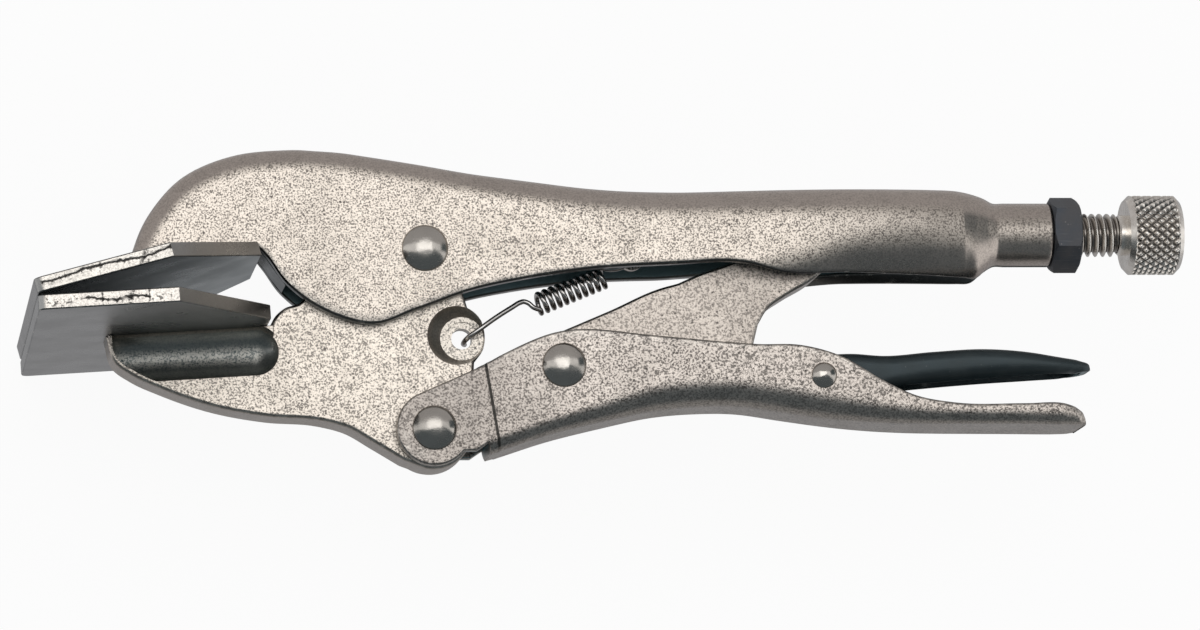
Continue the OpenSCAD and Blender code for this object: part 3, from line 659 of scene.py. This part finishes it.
def bumped(*layers):
    """Bump layers of (height from 0 to 1, depth in millimetres), the first lowest."""
    normal = None
    for height, depth in layers:
        normal = value_of("ShaderNodeBump", {
            "Strength": 1.0, "Distance": depth * MM, "Height": height, "Normal": normal})
    return normal


def new_material(name):
    """A material whose tree is the one being built, and its shader."""
    material = bpy.data.materials.new(name)
    material.use_nodes = True
    Work.tree = material.node_tree
    return material, Work.tree.nodes["Principled BSDF"]


def finished(made, colour, rough, least_rough, metallic, *layers):
    material, shader = made
    feed(shader, {"Base Color": colour, "Roughness": limited(rough, least_rough, 0.9), "Normal": bumped(*layers),
                  "Metallic": metallic})
    return material


# Pale for rubbed wear and the painted glint on pebble crowns; dark for blotches, pits, splits and painted shade in
# hollows.
WEAR_AND_GLINT, DARK = (0.86, 0.8, 0.72), (0.1, 0.09, 0.082)


def nickel(name, face, back, grain=0.45, pits=0.05, depth=0.03, speckle=0.6, back_speckle=0.35, back_rough=0.3,
           wear=0.4, painted_rim_shade=0.3, split=None):
    """Satin nickel plate: pebbled faces, smoother bends and backs, rubbed rims, dark pits, painted shade and glints."""
    made = new_material(name)
    grains, edges = effect("grain", Grain_mm=grain, Pits=pits), effect("wear", Amount=wear)
    blotch, rubbed = effect("handling", Blotch_mm=9.0)["Blotch"], edges["Mask"]
    out = effect("facing", From=0.88, To=0.985)["Face"]
    inside, cut, shade = (mark_of(key) for key in ("inside", "cut", "shade"))
    share = back_speckle + out * (speckle - back_speckle)
    # Painted shade: bends and backs take the darker back colour in place of the face colour.
    colour = tinted(mixed(out, back, face), (limited(0.5 - blotch) * 0.14, DARK))
    # Painted shade in the pebbles' hollows and a painted glint on their crowns.
    colour = tinted(
        colour, (limited(grains["Hollow"] * share), mixed(0.85, colour, DARK)), (grains["Crown"] * share * 0.4, WEAR_AND_GLINT),
        # Real dark pits, then painted shade along the rims.
        (grains["Pit"] * (0.3 + 0.6 * out), DARK), (limited(edges["Rim"]) * painted_rim_shade, (0.07, 0.078, 0.08)),
        (rubbed * 0.6, WEAR_AND_GLINT))
    rough = back_rough + out * (0.42 - back_rough) + (blotch - 0.5) * 0.08 - rubbed * 0.12
    layers = [(grains["Height"] * (share / speckle), depth)]
    if split:
        tear = effect("torn edge", Split_at=split[0], Split_from=split[1])
        colour = tinted(colour, (tear["Dark"] * out, mixed(0.7, DARK, (0.03, 0.03, 0.03))))
        rough = rough + tear["Dark"] * out * 0.2
        layers.append((tear["Height"] * out, depth * 5))
    # Painted shade: the shade mark dims the flat faces, the inside mark tints insides a dull teal, the edge mark turns
    # edges near black.
    colour = tinted(colour, (shade * out, (0.19, 0.17, 0.155)), (limited(inside), (0.1, 0.17, 0.19)),
                    (cut * 0.85, (0.075, 0.09, 0.095)))
    return finished(made, colour, rough, 0.12, 1 - between(inside, 0.7, 1.0) * 0.8, *layers)


def polished(name, base, low, rough=0.2, grooved=True, grain=0.25, depth=0.004):
    """Bright turned or cold-headed steel, darker in the roots of its thread or knurl."""
    made = new_material(name)
    marks, fine = effect("handling", Blotch_mm=3.0), noise(grain, seed=0.5)
    colour = mixed((marks["Blotch"] - 0.5) * 0.2 + 0.15, base, low)
    if grooved:
        height = mark_of("height")
        crest = between(height, 0.9, 1.0) * between(noise(1.1, seed=0.15), 0.4, 0.6)
        colour = tinted(colour, (1 - between(height, 0.05, 0.8), low), (crest * 0.5, (0.9, 0.87, 0.82)))
    rough = rough + marks["Rubbed"] * 0.1 + (marks["Blotch"] - 0.5) * 0.12
    return finished(made, colour, rough, 0.08, 1.0, (fine, depth))


def dark_steel(name, base, tint, worn, rough, metallic, wear=0.4):
    """Blued or black-finished steel with a faint tint, grain, bare metal along its rubbed rims, and painted shade
    inside.
    """
    made = new_material(name)
    marks, grains = effect("handling", Blotch_mm=5.0), effect("grain", Grain_mm=0.3, Pits=0.03)
    rubbed, inside = effect("wear", Amount=wear)["Mask"], mark_of("inside")
    # Insides take a dull teal that is not metallic: painted shade in the channel.
    colour = tinted(
        mixed(marks["Blotch"], base, tint), (grains["Pit"] * 0.4 + marks["Rubbed"] * 0.15, worn), (rubbed * 0.7, worn),
        (limited(inside), (0.17, 0.24, 0.26)))
    rough = rough + (marks["Blotch"] - 0.5) * 0.14 - rubbed * 0.1
    return finished(made, colour, rough, 0.15, (1 - limited(inside)) * metallic, (grains["Height"], 0.006))


# The second colour of each nickel is painted shade for its bends and backs; on the blades it darkens the broad faces.
head_plate = nickel("head_plate", (0.735, 0.66, 0.58), (0.52, 0.46, 0.415), pits=0.12, depth=0.045,
                    speckle=1.0, back_speckle=0.3, wear=0.1, painted_rim_shade=0.85)
handle_plate = nickel("lower_handle_plate", (0.635, 0.57, 0.515), (0.5, 0.46, 0.42), grain=0.5, pits=0.25, depth=0.06,
                      speckle=1.1, back_speckle=0.6, back_rough=0.36)
jaw_forging = nickel("jaw_forging", (0.77, 0.695, 0.61), (0.52, 0.47, 0.42), pits=0.14, depth=0.045, speckle=0.95,
                     back_rough=0.34)
link_forging = nickel("link_forging", (0.56, 0.5, 0.445), (0.44, 0.4, 0.36), grain=0.48, pits=0.16, depth=0.045,
                      speckle=0.8)
# Painted shade: the block in the throat under the head is coloured a near-black teal.
throat_block = nickel("throat_block", (0.09, 0.11, 0.12), (0.065, 0.085, 0.095), speckle=0.3, back_speckle=0.2,
                      wear=0.1)
upper_plate, lower_plate = (
    nickel(name, face, (0.335, 0.335, 0.33), speckle=0.4, back_speckle=0.12, painted_rim_shade=0.6, wear=0.2, split=split)
    for name, face, split in (("upper_blade", (0.8, 0.76, 0.7), (0.6, 0.26)),
                              ("lower_blade", (0.82, 0.77, 0.71), (0.5, 0.52))))
rivet_steel = polished("rivet_steel", (0.52, 0.49, 0.45), (0.24, 0.22, 0.205), grooved=False, grain=1.1, depth=0.028)
thread_steel = polished("thread_steel", (0.74, 0.7, 0.65), (0.24, 0.22, 0.2), rough=0.28)
knurl_steel = polished("knurl_steel", (0.86, 0.81, 0.75), (0.16, 0.148, 0.138), rough=0.25)
blued = dark_steel("blued_steel", (0.05, 0.058, 0.07), (0.085, 0.085, 0.09), (0.28, 0.27, 0.26), 0.5, 0.7)
black_lever = dark_steel("black_lever", (0.028, 0.04, 0.045), (0.038, 0.05, 0.054), (0.12, 0.125, 0.125), 0.42, 0.6,
                         wear=0.1)
spring_steel = polished("spring_steel", (0.52, 0.5, 0.48), (0.2, 0.19, 0.185), grooved=False)


# ---- Upper handle ----

upper_front = np.array([-JAW_REACH, -BITE_DROP])
lower_front = upper_front - [0, TIP_GAP]
upper_top = upper_front + along(UPPER_SLOPE + 90, BLADE_T)
lower_under = lower_front + along(LOWER_SLOPE - 90, BLADE_T)
blade_back = upper_top + along(UPPER_SLOPE, BLADE_DEPTH)
lower_back = lower_under + along(LOWER_SLOPE, BLADE_DEPTH)
HEAD_NOSE, CROWN, LOBE, RISE, DROP = 53.3, 18.68, 13.7, 11.4, 4.8
on_upper_blade = partial(on_line, upper_top, UPPER_SLOPE, 0.6)
on_lower_blade = partial(on_line, lower_under, LOWER_SLOPE, 0.05)
crown_row = [20 - HEAD_NOSE, CROWN - 0.9, blade_back[0] + 0.5, blade_back[1] - 0.3]
lobe_row = [-10, CROWN - 1.2, -10.6, -LOBE]


def throat_row(crown_share, edge_share, edge_fall, height):
    return ((crown_row[0] + crown_share * (lobe_row[0] - crown_row[0]), height),
            (crown_row[2] + edge_share * (lobe_row[2] - crown_row[2]),
             crown_row[3] + edge_fall * (lobe_row[3] - crown_row[3])), HEAD_HALF, 4.7)


nose_foot = on_upper_blade(-HEAD_NOSE)
upper_rows = sheet_rows(
    8,
    (nose_foot, nose_foot + along(UPPER_SLOPE, 4.2), HEAD_HALF, 3.4),
    ((1 - HEAD_NOSE, 0.4), on_upper_blade(9.3 - HEAD_NOSE), HEAD_HALF, 3.8),
    ((4.2 - HEAD_NOSE, 7.3), on_upper_blade(14.8 - HEAD_NOSE), HEAD_HALF, 4.3),
    ((10.1 - HEAD_NOSE, CROWN - 5), on_upper_blade(19.3 - HEAD_NOSE), HEAD_HALF, 4.6),
    throat_row(0, 0, 0, CROWN - 0.9), throat_row(0.4, 0.1, 0.14, CROWN), throat_row(0.61, 0.26, 0.46, CROWN - 0.2),
    throat_row(0.79, 0.55, 0.78, CROWN - 0.5), throat_row(1, 1, 1, lobe_row[1]),
    ((-1, CROWN - 2.6), (-1.6, 2.6 - LOBE), HEAD_HALF, 4.8),
    ((9, CROWN - 4.3), (8, 6 - LOBE), HEAD_HALF, 5),
    ((19, RISE + 1.6), (18, -DROP - 0.8), HEAD_HALF + 0.6, 5.3),
    ((31, RISE), (30, 0.8 - DROP), GRIP_HALF - 1, 5.6),
    ((44, RISE - 0.7), (44, 1.5 - DROP), GRIP_HALF, 6),
    ((58, RISE - 0.4), (58, 1.7 - DROP), GRIP_HALF, 6.3, 9, 4),
    ((65, RISE - 0.2), (65, -DROP), GRIP_HALF, 6.4, 10.5, 24),
    ((78, RISE), (78, 0.2 - DROP), GRIP_HALF, 6.5, 12, 42),
    ((85, RISE), (85, 0.1 - DROP), GRIP_HALF, 6.5, 12.2, 49),
    ((93, RISE), (93, -DROP - 0.1), GRIP_HALF - 0.6, 6.5, 12, 52),
    ((NECK_END - 7, RISE - 0.1), (NECK_END - 6.6, -DROP - 0.3), 8.5, 6.5, 10.8, 56),
    ((NECK_END - 4.6, RISE - 0.4), (NECK_END - 4, -DROP - 0.3), 7.4, 6.3, 8.4, 64),
    ((NECK_END - 2, SCREW_RISE + TUBE_R + 0.9), (NECK_END - 1.8, SCREW_RISE - TUBE_R - 1.1), 6.4, 6, 6.1, 76),
    *(((x, SCREW_RISE + TUBE_R), (x, SCREW_RISE - TUBE_R), TUBE_R, TUBE_R, TUBE_R, 88)
      for x in (NECK_END, NECK_END + 2, TUBE_END)))


def blade_space():
    """The upper blade's space with its weld gap, and the mouth below it."""
    ahead, up = axes(UPPER_SLOPE)
    corners = [(0, -8.1), (BLADE_DEPTH + 0.05, -8.1), (BLADE_DEPTH + 0.05, BLADE_T + 0.05), (0, BLADE_T + 0.05)]
    ring = [upper_front + a * ahead + b * up for a, b in corners]
    return new_piece("mouth", *skin([[(*p, z) for p in ring] for z in (-JAW_HALF, JAW_HALF)]))


upper_handle = pressed_shell("upper_handle_plate", upper_rows, SHEET, wall_steps=18, ends=(0.2, 0.5))
boolean(upper_handle, [blade_space(), bar((0, 0), RIVET_D / 2 + BORE_GAP, -12, 12),
                       turned("screw_way", (NECK_END - 8, SCREW_WAY_R), (TUBE_END + 0.5, SCREW_WAY_R))])
# Painted shade: the sheet's edges in the throat are marked to go nearly black.
mark_faces(upper_handle, "cut", lambda c, n: abs(n[2]) < 0.5 and -36 < c[0] < -9 and c[1] < 0)
# Painted shade that dims the grip's flat faces towards the neck.
shaded(upper_handle, 66, 92, 0.5)
ready(upper_handle, "upper_handle", "nickel_plate", head_plate, "upper_handle")


# ---- Blades ----

def blade(name, corner, slope, bite):
    r, (ahead, up) = 1.6, axes(slope)
    outline = (arc((r, JAW_HALF - r), r, 180, 90, 8) + [(BLADE_FRONT, JAW_HALF), (BLADE_DEPTH, BLADE_NECK)]
               + [(BLADE_DEPTH, -BLADE_NECK), (BLADE_FRONT, -JAW_HALF)] + arc((r, r - JAW_HALF), r, 270, 180, 8))
    return plate(name, outline, 0, BLADE_T, edge=0.28, steps=3,
                 place=lambda p: (*(corner + p[0] * ahead + p[2] * up), p[1]),
                 # The bite face, which faces the other blade, takes painted shade through the inside mark.
                 marks={"across": lambda p: p[2] / BLADE_T, "inside": lambda p: 0.5 if abs(p[2] - bite) < 0.01 else 0})


ready(blade("upper_blade_plate", upper_front, UPPER_SLOPE, 0),
      "upper_handle", "nickel_plate", upper_plate, "upper_blade")
ready(blade("lower_blade_plate", lower_under, LOWER_SLOPE, BLADE_T),
      "lower_jaw", "nickel_plate", lower_plate, "lower_blade")


# ---- Lower jaw ----

ARM_NOSE, SCOOP_END, SCOOP_R, WEB_HALF, LIP = -57.4, -30.9, 4.6, 1.7, 0.9
belly = [(ARM_NOSE + 1.4, -20.2), (ARM_NOSE + 4.9, -22.8), (-47.7, -25), (-38.2, -28.3), (-28.6, -30.1), (-19, -30.9)]
arm_outline = (
    smooth([on_lower_blade(ARM_NOSE), *belly, (-14.2, -32.2), (-9.4, -35), (-4.3, -38.1)], 8)
    + arc(JAW_PIVOT, 7.18, 258, 368, 36) + smooth([(8.7, -27.5), (8.7, -23.5), (8.9, -20.4)], 6)
    + arc(LUG_CENTRE, 5.8, -46, 64, 24) + arc((0, 0), 7.45, -35, 205, 60)
    + smooth([(-20.6, -7.4), (-22.6, -9.5), (-25.2, -10.4), (lower_back[0] + 1, lower_back[1] + 1.2),
              on_lower_blade(lower_back[0] + 0.6)], 8))
scoop_z = WEB_HALF + SCOOP_R
scoop_centre = on_lower_blade(SCOOP_END) + along(LOWER_SLOPE - 90, SCOOP_R - 0.15)


def scoop(side, steps=72):
    """A round-nosed cutting bar under one side of the lower blade, which stops at the nose's thin lip."""
    ahead, up = axes(LOWER_SLOPE)
    profile = [(SCOOP_R * sin(a), SCOOP_R * cos(a)) for a in np.linspace(pi / 2, 0, 19)[:-1]]
    profile = [(a, max(r, 0.002)) for a, r in profile] + [(-40, SCOOP_R)]
    rings = []
    for a, r in profile:
        centre = scoop_centre + a * ahead
        rings.append([(*(centre + r * cos(t) * up), side * scoop_z + r * sin(t))
                      for t in np.arange(steps) * TURN / steps])
    stop = smooth([(ARM_NOSE + LIP, -12.5), (ARM_NOSE + LIP, -16)]
                  + [(x + LIP * 0.5, y + LIP * 0.85) for x, y in belly], 8) + [np.array((-15, -12.5))]
    return boolean(new_piece("scoop", *skin(rings)), [plate("stop", stop, -14, 14, edge=0.1)], "INTERSECT")


def recess(side):
    """The dished seat round the spring's hole: a lopsided cone, a flat floor and a shallow ring."""
    return [cutter(*sorted(((c, r, side * z) for c, r, z in circles), key=lambda k: k[2])) for circles in (
        ((RECESS_CENTRE, 5.45, 4.8), (RECESS_CENTRE, 5.35, 4.4), ((6.4, -15.6), 4.8, 2.9), (SPRING_HOLE, 3.95, 1.7)),
        ((SPRING_HOLE, 3.1, 2), (SPRING_HOLE, 3, 1.45)))]


lower_jaw = plate("lower_jaw_forging", arm_outline, -ARM_HALF, ARM_HALF, edge=0.7, steps=5)
nose = on_lower_blade(ARM_NOSE + 0.3)
heel = on_lower_blade(SCOOP_END + 3.5)
fillet = [nose, nose + [0.5, -1.6], heel + [0, -3.2], heel]
boolean(lower_jaw, [plate("fillet", fillet, -scoop_z, scoop_z, edge=0.15)], "UNION")
boolean(lower_jaw, [scoop(1), scoop(-1)] + recess(1) + recess(-1))
bored(lower_jaw, (SPRING_HOLE, 3.7), ((0, 0), RIVET_D), (JAW_PIVOT, RIVET_D))


def jaw_mark(p, mark):
    """How much painted shade the jaw's hollows take, through the inside mark."""
    if norm(p[:2] - np.array(RECESS_CENTRE)) < 5.5 and abs(p[2]) < ARM_HALF - 0.3:
        return 0.3 if norm(p[:2] - np.array(SPRING_HOLE)) > 4.1 else 0.1
    a, u = ((p[:2] - scoop_centre) @ way for way in axes(LOWER_SLOPE))
    r = sqrt(max(a, 0) ** 2 + u * u + (abs(p[2]) - scoop_z) ** 2)
    return 0.45 if abs(r - SCOOP_R) < 0.06 and abs(p[2]) < ARM_HALF - 0.3 else 0


remarked(lower_jaw, jaw_mark)
ready(lower_jaw, "lower_jaw", "nickel_plate", jaw_forging, "lower_jaw")


# ---- Lower handle ----

TAIL = 121
lower_rows = sheet_rows(
    4.6,
    ((11.4, -37.3), (9, -21.75), EAR_HALF - 0.04, 2.6), ((12.1, -37.1), (9.7, -21.4), EAR_HALF + 0.05, 2.6),
    ((12.85, -36.9), (10.4, -21.1), EAR_HALF + 0.05, 2.6),
    ((13.15, -36.8), (10.7, -21), WALL_HALF, 2.8), ((15.3, -36.1), (13.2, -19.7), WALL_HALF, 2.8),
    ((24, -33.4), (22.5, -15.7), WALL_HALF, 3), ((33, -31.3), (29, -14.9), WALL_HALF, 3.6),
    ((42, -29.5), (40, -16), (WALL_HALF + LOWER_HALF) / 2, 4.6), ((50, -28.8), (50, -17), LOWER_HALF, 4.6),
    ((58, -28.9), (60, -17.8), LOWER_HALF, 4.6), ((66, -30.1), (68, -18), LOWER_HALF, 4.6),
    ((74, -31.2), (75.5, -20.1), LOWER_HALF, 4.4), ((82, -31.9), (82.5, -24.2), LOWER_HALF, 3.6),
    ((89, -32.2), (89, -27.3), LOWER_HALF, 2.9), ((96, -32.3), (96, -28.6), LOWER_HALF, 2.5),
    ((TAIL - 12, -32.4), (TAIL - 12, -28.8), LOWER_HALF, 2.3),
    ((TAIL - 4.5, -32.5), (TAIL - 4.8, -28.8), LOWER_HALF - 0.1, 2.3),
    ((TAIL - 1.5, -32.5), (TAIL - 2.6, -29.4), LOWER_HALF - 0.8, 2.3),
    ((TAIL, -32.4), (TAIL - 1, -30.2), LOWER_HALF - 2.2, 2.2))
ear_outline = arc(JAW_PIVOT, 6.8, 118, 322, 60) + [(8.8, -36.8), (12.1, -34.6), (12.3, -21.4), (11.2, -20.85)]
lower_handle = pressed_shell("lower_handle_plate", lower_rows, LOWER_SHEET, ends=(0.3, 0.4))
for side in (1, -1):
    low, high = sorted((side * (EAR_HALF - LOWER_SHEET), side * EAR_HALF))
    boolean(lower_handle, [plate("ear", ear_outline, low, high, edge=0.45)], "UNION")
bored(lower_handle, (JAW_PIVOT, RIVET_D), (LINK_PIVOT, RIVET_D), (LEVER_PIVOT, LEVER_RIVET_D))
# The ears' outer faces take no painted shade.
remarked(lower_handle, lambda p, mark: 0 if p[0] < 12.3 and abs(p[2]) > EAR_HALF - 0.7 else mark)
# Painted shadow: the step face at the joggle is marked to go nearly black.
mark_faces(lower_handle, "cut", lambda c, n: n[0] < -0.4 and 9 < c[0] < 14 and -36 < c[1] < -20.5 and n[2] * c[2] > 0)
# Painted shade that dims the flat faces towards the ears.
shaded(lower_handle, 26, 8, 0.4)
ready(lower_handle, "lower_handle", "nickel_plate", handle_plate, "lower_handle")


# ---- Toggle link and release lever ----

nose_centre = (SCREW_TIP - 2.6 - 3.6, SCREW_RISE)
link_outline = (
    arc(LINK_PIVOT, 6.2, 120, 290, 40) + smooth([(36, -25.4), (46, -22.4), (54, -20.2)], 6)
    + arc((57.6, -17.6), 2.2, 240, 340, 14)
    + smooth([(60.9, -13.6), (62.6, -10.9), (66.5, -8.1), (71, -5.5), (74.4, -2.6)], 6)
    + arc(nose_centre, 3.6, -42, 118, 30) + smooth([(66, 4.2), (58, -1.4), (50, -4.4)], 6)
    + smooth([(46.4, -6), (43.1, -6.9), (34, -10.9)], 6))
toggle_link = bored(plate("toggle_link_forging", link_outline, -4.5, 4.5, edge=0.6), (LINK_PIVOT, RIVET_D))
ready(toggle_link, "toggle_link", "nickel_plate", link_forging, "toggle_link")

lever_rows = sheet_rows(
    2.4,
    ((60.5, -21.4), (61.2, -24.4), LEVER_HALF, 2.2), ((66, -20.3), (66.4, -26.4), LEVER_HALF, 2.2),
    ((70, -19.6), (70, -26.9), LEVER_HALF, 2.2), ((78, -18.9), (78.4, -26), LEVER_HALF, 2.2),
    ((84, -19.3), (84, -25.3), LEVER_HALF, 2.2, 2.4, 50), ((93, -18.6), (93, -24.4), LEVER_HALF, 2.2, 2.5, 78),
    ((103, -18.1), (103, -23.6), LEVER_HALF, 2.2, 2.5, 80), ((111, -18.7), (110.6, -23.1), LEVER_HALF, 2.1, 2.2, 80),
    ((117, -19.7), (115.4, -22.8), LEVER_HALF - 0.3, 1.75, 1.75, 78),
    ((120.6, -20.3), (117.6, -22.7), LEVER_HALF - 0.9, 1.75, 1.75, 78),
    ((122.4, -21), (118.6, -22.6), LEVER_HALF - 1.5, 1.75, 1.75, 78),
    ((122.7, -22), (119, -22.6), LEVER_HALF - 2, 1.75, 1.75, 78))
release_lever = bored(pressed_shell("release_lever_plate", lever_rows, LEVER_SHEET, rim=0.35),
                      (LEVER_PIVOT, LEVER_RIVET_D), reach=5.9, use_self=True)
ready(release_lever, "release_lever", "black_finish", black_lever, "release_lever")


# ---- Rivets ----

one_rivet = domed_rivet_tree()
for name, title, body, rivets in (
        ("main_rivet_steel", "upper handle rivets", "upper_handle", {"main_rivet": ((0, 0), 4.4, 2, 3, HEAD_HALF)}),
        ("lower_rivets_steel", "lower handle rivets", "lower_handle", {
            "jaw_rivet": (JAW_PIVOT, 4.2, 2, 3, EAR_HALF), "link_rivet": (LINK_PIVOT, 4.2, 2, 3, WALL_HALF),
            "lever_rivet": (LEVER_PIVOT, 2.45, 1.3, 1.6, LOWER_HALF)})):
    ready(grown(name, partial(rivet_set_tree, title, rivets.values(), one_rivet), {}, rivet_steel), body,
          "bright_steel", rivet_steel, *rivets)


# ---- Return spring ----

coil_start, coil_end, coil_r, coils = np.array([20.6, -9.4]), np.array([33.6, -4.1]), 1.775, 11
coil_run = coil_end - coil_start
coil_side = np.array([-coil_run[1], coil_run[0]]) / norm(coil_run)
coil_path = []
for i in range(9, 24 * coils + 1):
    a, p = TURN * i / 24, coil_start + coil_run * i / (24 * coils)
    coil_path.append((*(p + coil_r * cos(a) * coil_side), coil_r * sin(a)))
jaw_hook = [(7.9, -16.2, -2.2), (7.5, -16.3, -0.6), (7.6, -16, 1.2), (8.3, -15.4, 2.6), (9.8, -14.4, 3.2),
            (13, -12.1, 2.8), (16.4, -9.9, 2.1), (17.6, -9.15, 1.8), (18.4, -8.9, 1.6), (19.3, -9.2, 1.6),
            (20.1, -9.9, 1.6), coil_path[0]]
upper_hook = [coil_path[-1], (34.9, -2.8, 0.4), (36.4, -2.6, 1.2), (37.7, -1.9, 1.6), (38.5, -0.9, 1),
              (38.5, -0.6, -0.4), (38, -0.7, -1.7)]
spring_path = smooth(jaw_hook, 6)[:-1] + coil_path + smooth(upper_hook, 6)[1:]
wire = bpy.data.curves.new("return_spring_wire", "CURVE")
wire.dimensions = "3D"
line = wire.splines.new("POLY")
line.points.add(len(spring_path) - 1)
line.points.foreach_set("co", [c for p in spring_path for c in (*(np.array(p) * MM), 1)])
return_spring = grown("return_spring_wire", wire_tree, {"Wire radius": 0.46 * MM, "Sides": 12}, spring_steel, wire)
ready(return_spring, None, "spring_steel", spring_steel)
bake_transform(return_spring)
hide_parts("return_spring")


# ---- Screw, knob and lock nut ----

collar = KNOB_START - BOSS
dome = [(SCREW_TIP + 5 - sqrt(25 - r * r), max(r, ON_AXIS)) for r in np.linspace(0, CORE_R, 7)]
core = turned("screw_core", *dome, (collar - 0.05, CORE_R), (collar + 0.3, SHANK_R), (SHANK_END, SHANK_R))
ready(core, "adjusting_screw", "bright_steel", thread_steel, "adjusting_screw")
thread = grown("screw_thread", rolled_thread_tree, {
    "Start": THREAD_START * MM, "End": collar * MM, "Pitch": PITCH * MM, "Crest radius": THREAD_R * MM,
    "Depth": 0.866 * MM, "Bore radius": 3.02 * MM, "Axis rise": SCREW_RISE * MM, "Lead in": 1.2 * MM,
    "Rows": 1 + round((collar - THREAD_START + PITCH) / PITCH * 12), "Sides": 73}, thread_steel)
ready(thread, "adjusting_knob", "bright_steel", thread_steel)
knob = grown("knurled_knob", knurled_knob_tree, {
    "Start": KNOB_START * MM, "End": KNOB_END * MM, "Radius": KNOB_R * MM, "Chamfer": 0.9 * MM, "Depth": 0.5 * MM,
    "Ridge run": 1.9 * MM, "Starts": 28, "Boss radius": 3.72 * MM, "Boss length": BOSS * MM,
    "Boss chamfer": 0.3 * MM, "Bore radius": 3.35 * MM, "Bore end": 139 * MM, "Axis rise": SCREW_RISE * MM,
    "Rows": 100, "Sides": 337}, knurl_steel)
ready(knob, "adjusting_knob", "bright_steel", knurl_steel, "adjusting_knob", crease=28)

hexagon = [along(NUT_TURN - 90 + 60 * i, NUT_FLATS / 2 / cos(pi / 6)) for i in range(6)]
nut = plate("lock_nut_blued", hexagon, NUT_START, NUT_END, edge=0.25, steps=3,
            place=lambda p: (p[2], SCREW_RISE + p[0], p[1]))
face_r, corner_r = NUT_FLATS / 2 - 0.1, NUT_FLATS / 2 / cos(pi / 6) + 0.5
bevel = (corner_r - face_r) * tan(pi / 6)
boolean(nut, [turned("nut_bevel", (NUT_START, face_r), (NUT_START + bevel, corner_r), (NUT_END - bevel, corner_r),
                     (NUT_END, face_r))], "INTERSECT")
boolean(nut, [turned("nut_bore", (NUT_START - 1, SCREW_WAY_R), (NUT_END + 1, SCREW_WAY_R))])
ready(nut, "lock_nut", "blued_steel", blued, "lock_nut", crease=24)


# ---- Solids that stay as they are ----

for node, material in (("upper_jaw_block", throat_block), ("spring_lug", head_plate)):
    shown = frame["nodes"][node]
    shown.data.materials.clear()
    shown.data.materials.append(material)


# ---- Floor, light and camera ----

def flat(name, corners):
    """One flat face that stays outside the tool, and its material."""
    mesh = bpy.data.meshes.new(name)
    mesh.from_pydata(corners, [], [range(len(corners))])
    obj = linked(name, mesh)
    material, shader = new_material(name)
    mesh.materials.append(material)
    return obj, shader, Work.tree.nodes["Material Output"]


def emission(colour): return value_of("ShaderNodeEmission", {"Color": (*colour, 1), "Strength": 1.0})


def white_for_looks():
    """1 for what the camera, a reflection or a refraction sees, and 0 for the light that falls."""
    path = add_node("ShaderNodeLightPath").outputs
    camera, glossy, clear = (Value(path[f"Is {kind} Ray"]) for kind in ("Camera", "Glossy", "Transmission"))
    return most(most(camera, glossy), clear)


def slope(x0, y0, z0, x1, y1, z1):
    return [(x0, y0, z0), (x1, y0, z0), (x1, y1, z1), (x0, y1, z1)]


# Plain grey cards that only reflections see
for name, grey, corners in (
        ("card_below", (0.12, 0.14, 0.152), [(-0.35, -0.056, 0), (0.117, -0.056, 0), (0.152, 0.02, 0.3),
                                             (0.115, 0.014, 0.3), (0.085, -0.035, 0.3), (-0.35, -0.035, 0.3)]),
        ("card_low", (0.36, 0.36, 0.36), slope(-0.35, -0.056, -0.038, 0.125, -0.056, 0)),
        ("card_above", (0.48, 0.47, 0.47), slope(-0.35, 0.056, -0.038, 0.35, 0.165, 0.32)),
        ("card_under", (0.4, 0.4, 0.41), slope(-0.2, -0.13, -0.0402, 0.2, 0.055, -0.0402)),
        ("card_beside", (0.1, 0.12, 0.13), [(0.163, 0, 0.014), (0.163, 0.09, 0.014), (0.2, 0.09, 0.16),
                                             (0.2, 0, 0.16)])):
    card, _, end = flat(name, corners)
    feed(end, {0: emission(grey)})
    card.visible_camera = card.visible_diffuse = card.visible_shadow = False

_, shader, end = flat("floor", slope(-4, -4, -0.0405, 4, 4, -0.0405))
feed(shader, {"Base Color": (0.86, 0.86, 0.86, 1), "Roughness": 0.9})
feed(end, {0: value_of("ShaderNodeMixShader", {
    0: white_for_looks() * 0.93, 1: Value(shader.outputs[0]), 2: emission((1, 1, 1))})})

world = scene.world = bpy.data.worlds.new("studio")
world.use_nodes = True
Work.tree = world.node_tree
feed(Work.tree.nodes["Background"], {0: (1, 1, 1, 1), 1: 0.62 + white_for_looks() * 0.38})

lamp_data = bpy.data.lights.new("soft_light", "AREA")
lamp_data.shape, lamp_data.size, lamp_data.size_y, lamp_data.energy = "RECTANGLE", 0.9, 0.7, 2.2
lamp = linked("soft_light", lamp_data)
lamp.location = (-0.02, 0.24, 1.0)
lamp.rotation_euler = Vector(lamp.location).to_track_quat("Z", "Y").to_euler()
lamp.visible_camera = False

right, up, back = (Vector(v) for v in ((0.99094451, -0.02245591, 0.13238094), (0.00176425, 0.98800833, 0.15439048),
                                       (-0.13426045, -0.15275885, 0.97910105)))
eye = Vector(np.array([-115.14406, -179.16059, 1077.01116]) * MM + MAIN_PIVOT)
camera_data = bpy.data.cameras.new("camera")
camera_data.sensor_width, camera_data.lens = 36, 181.5
camera = linked("camera", camera_data)
camera.matrix_world = Matrix.Translation(eye) @ Matrix((right, up, back)).transposed().to_4x4()
scene.camera = camera
scene.view_settings.view_transform = "Standard"
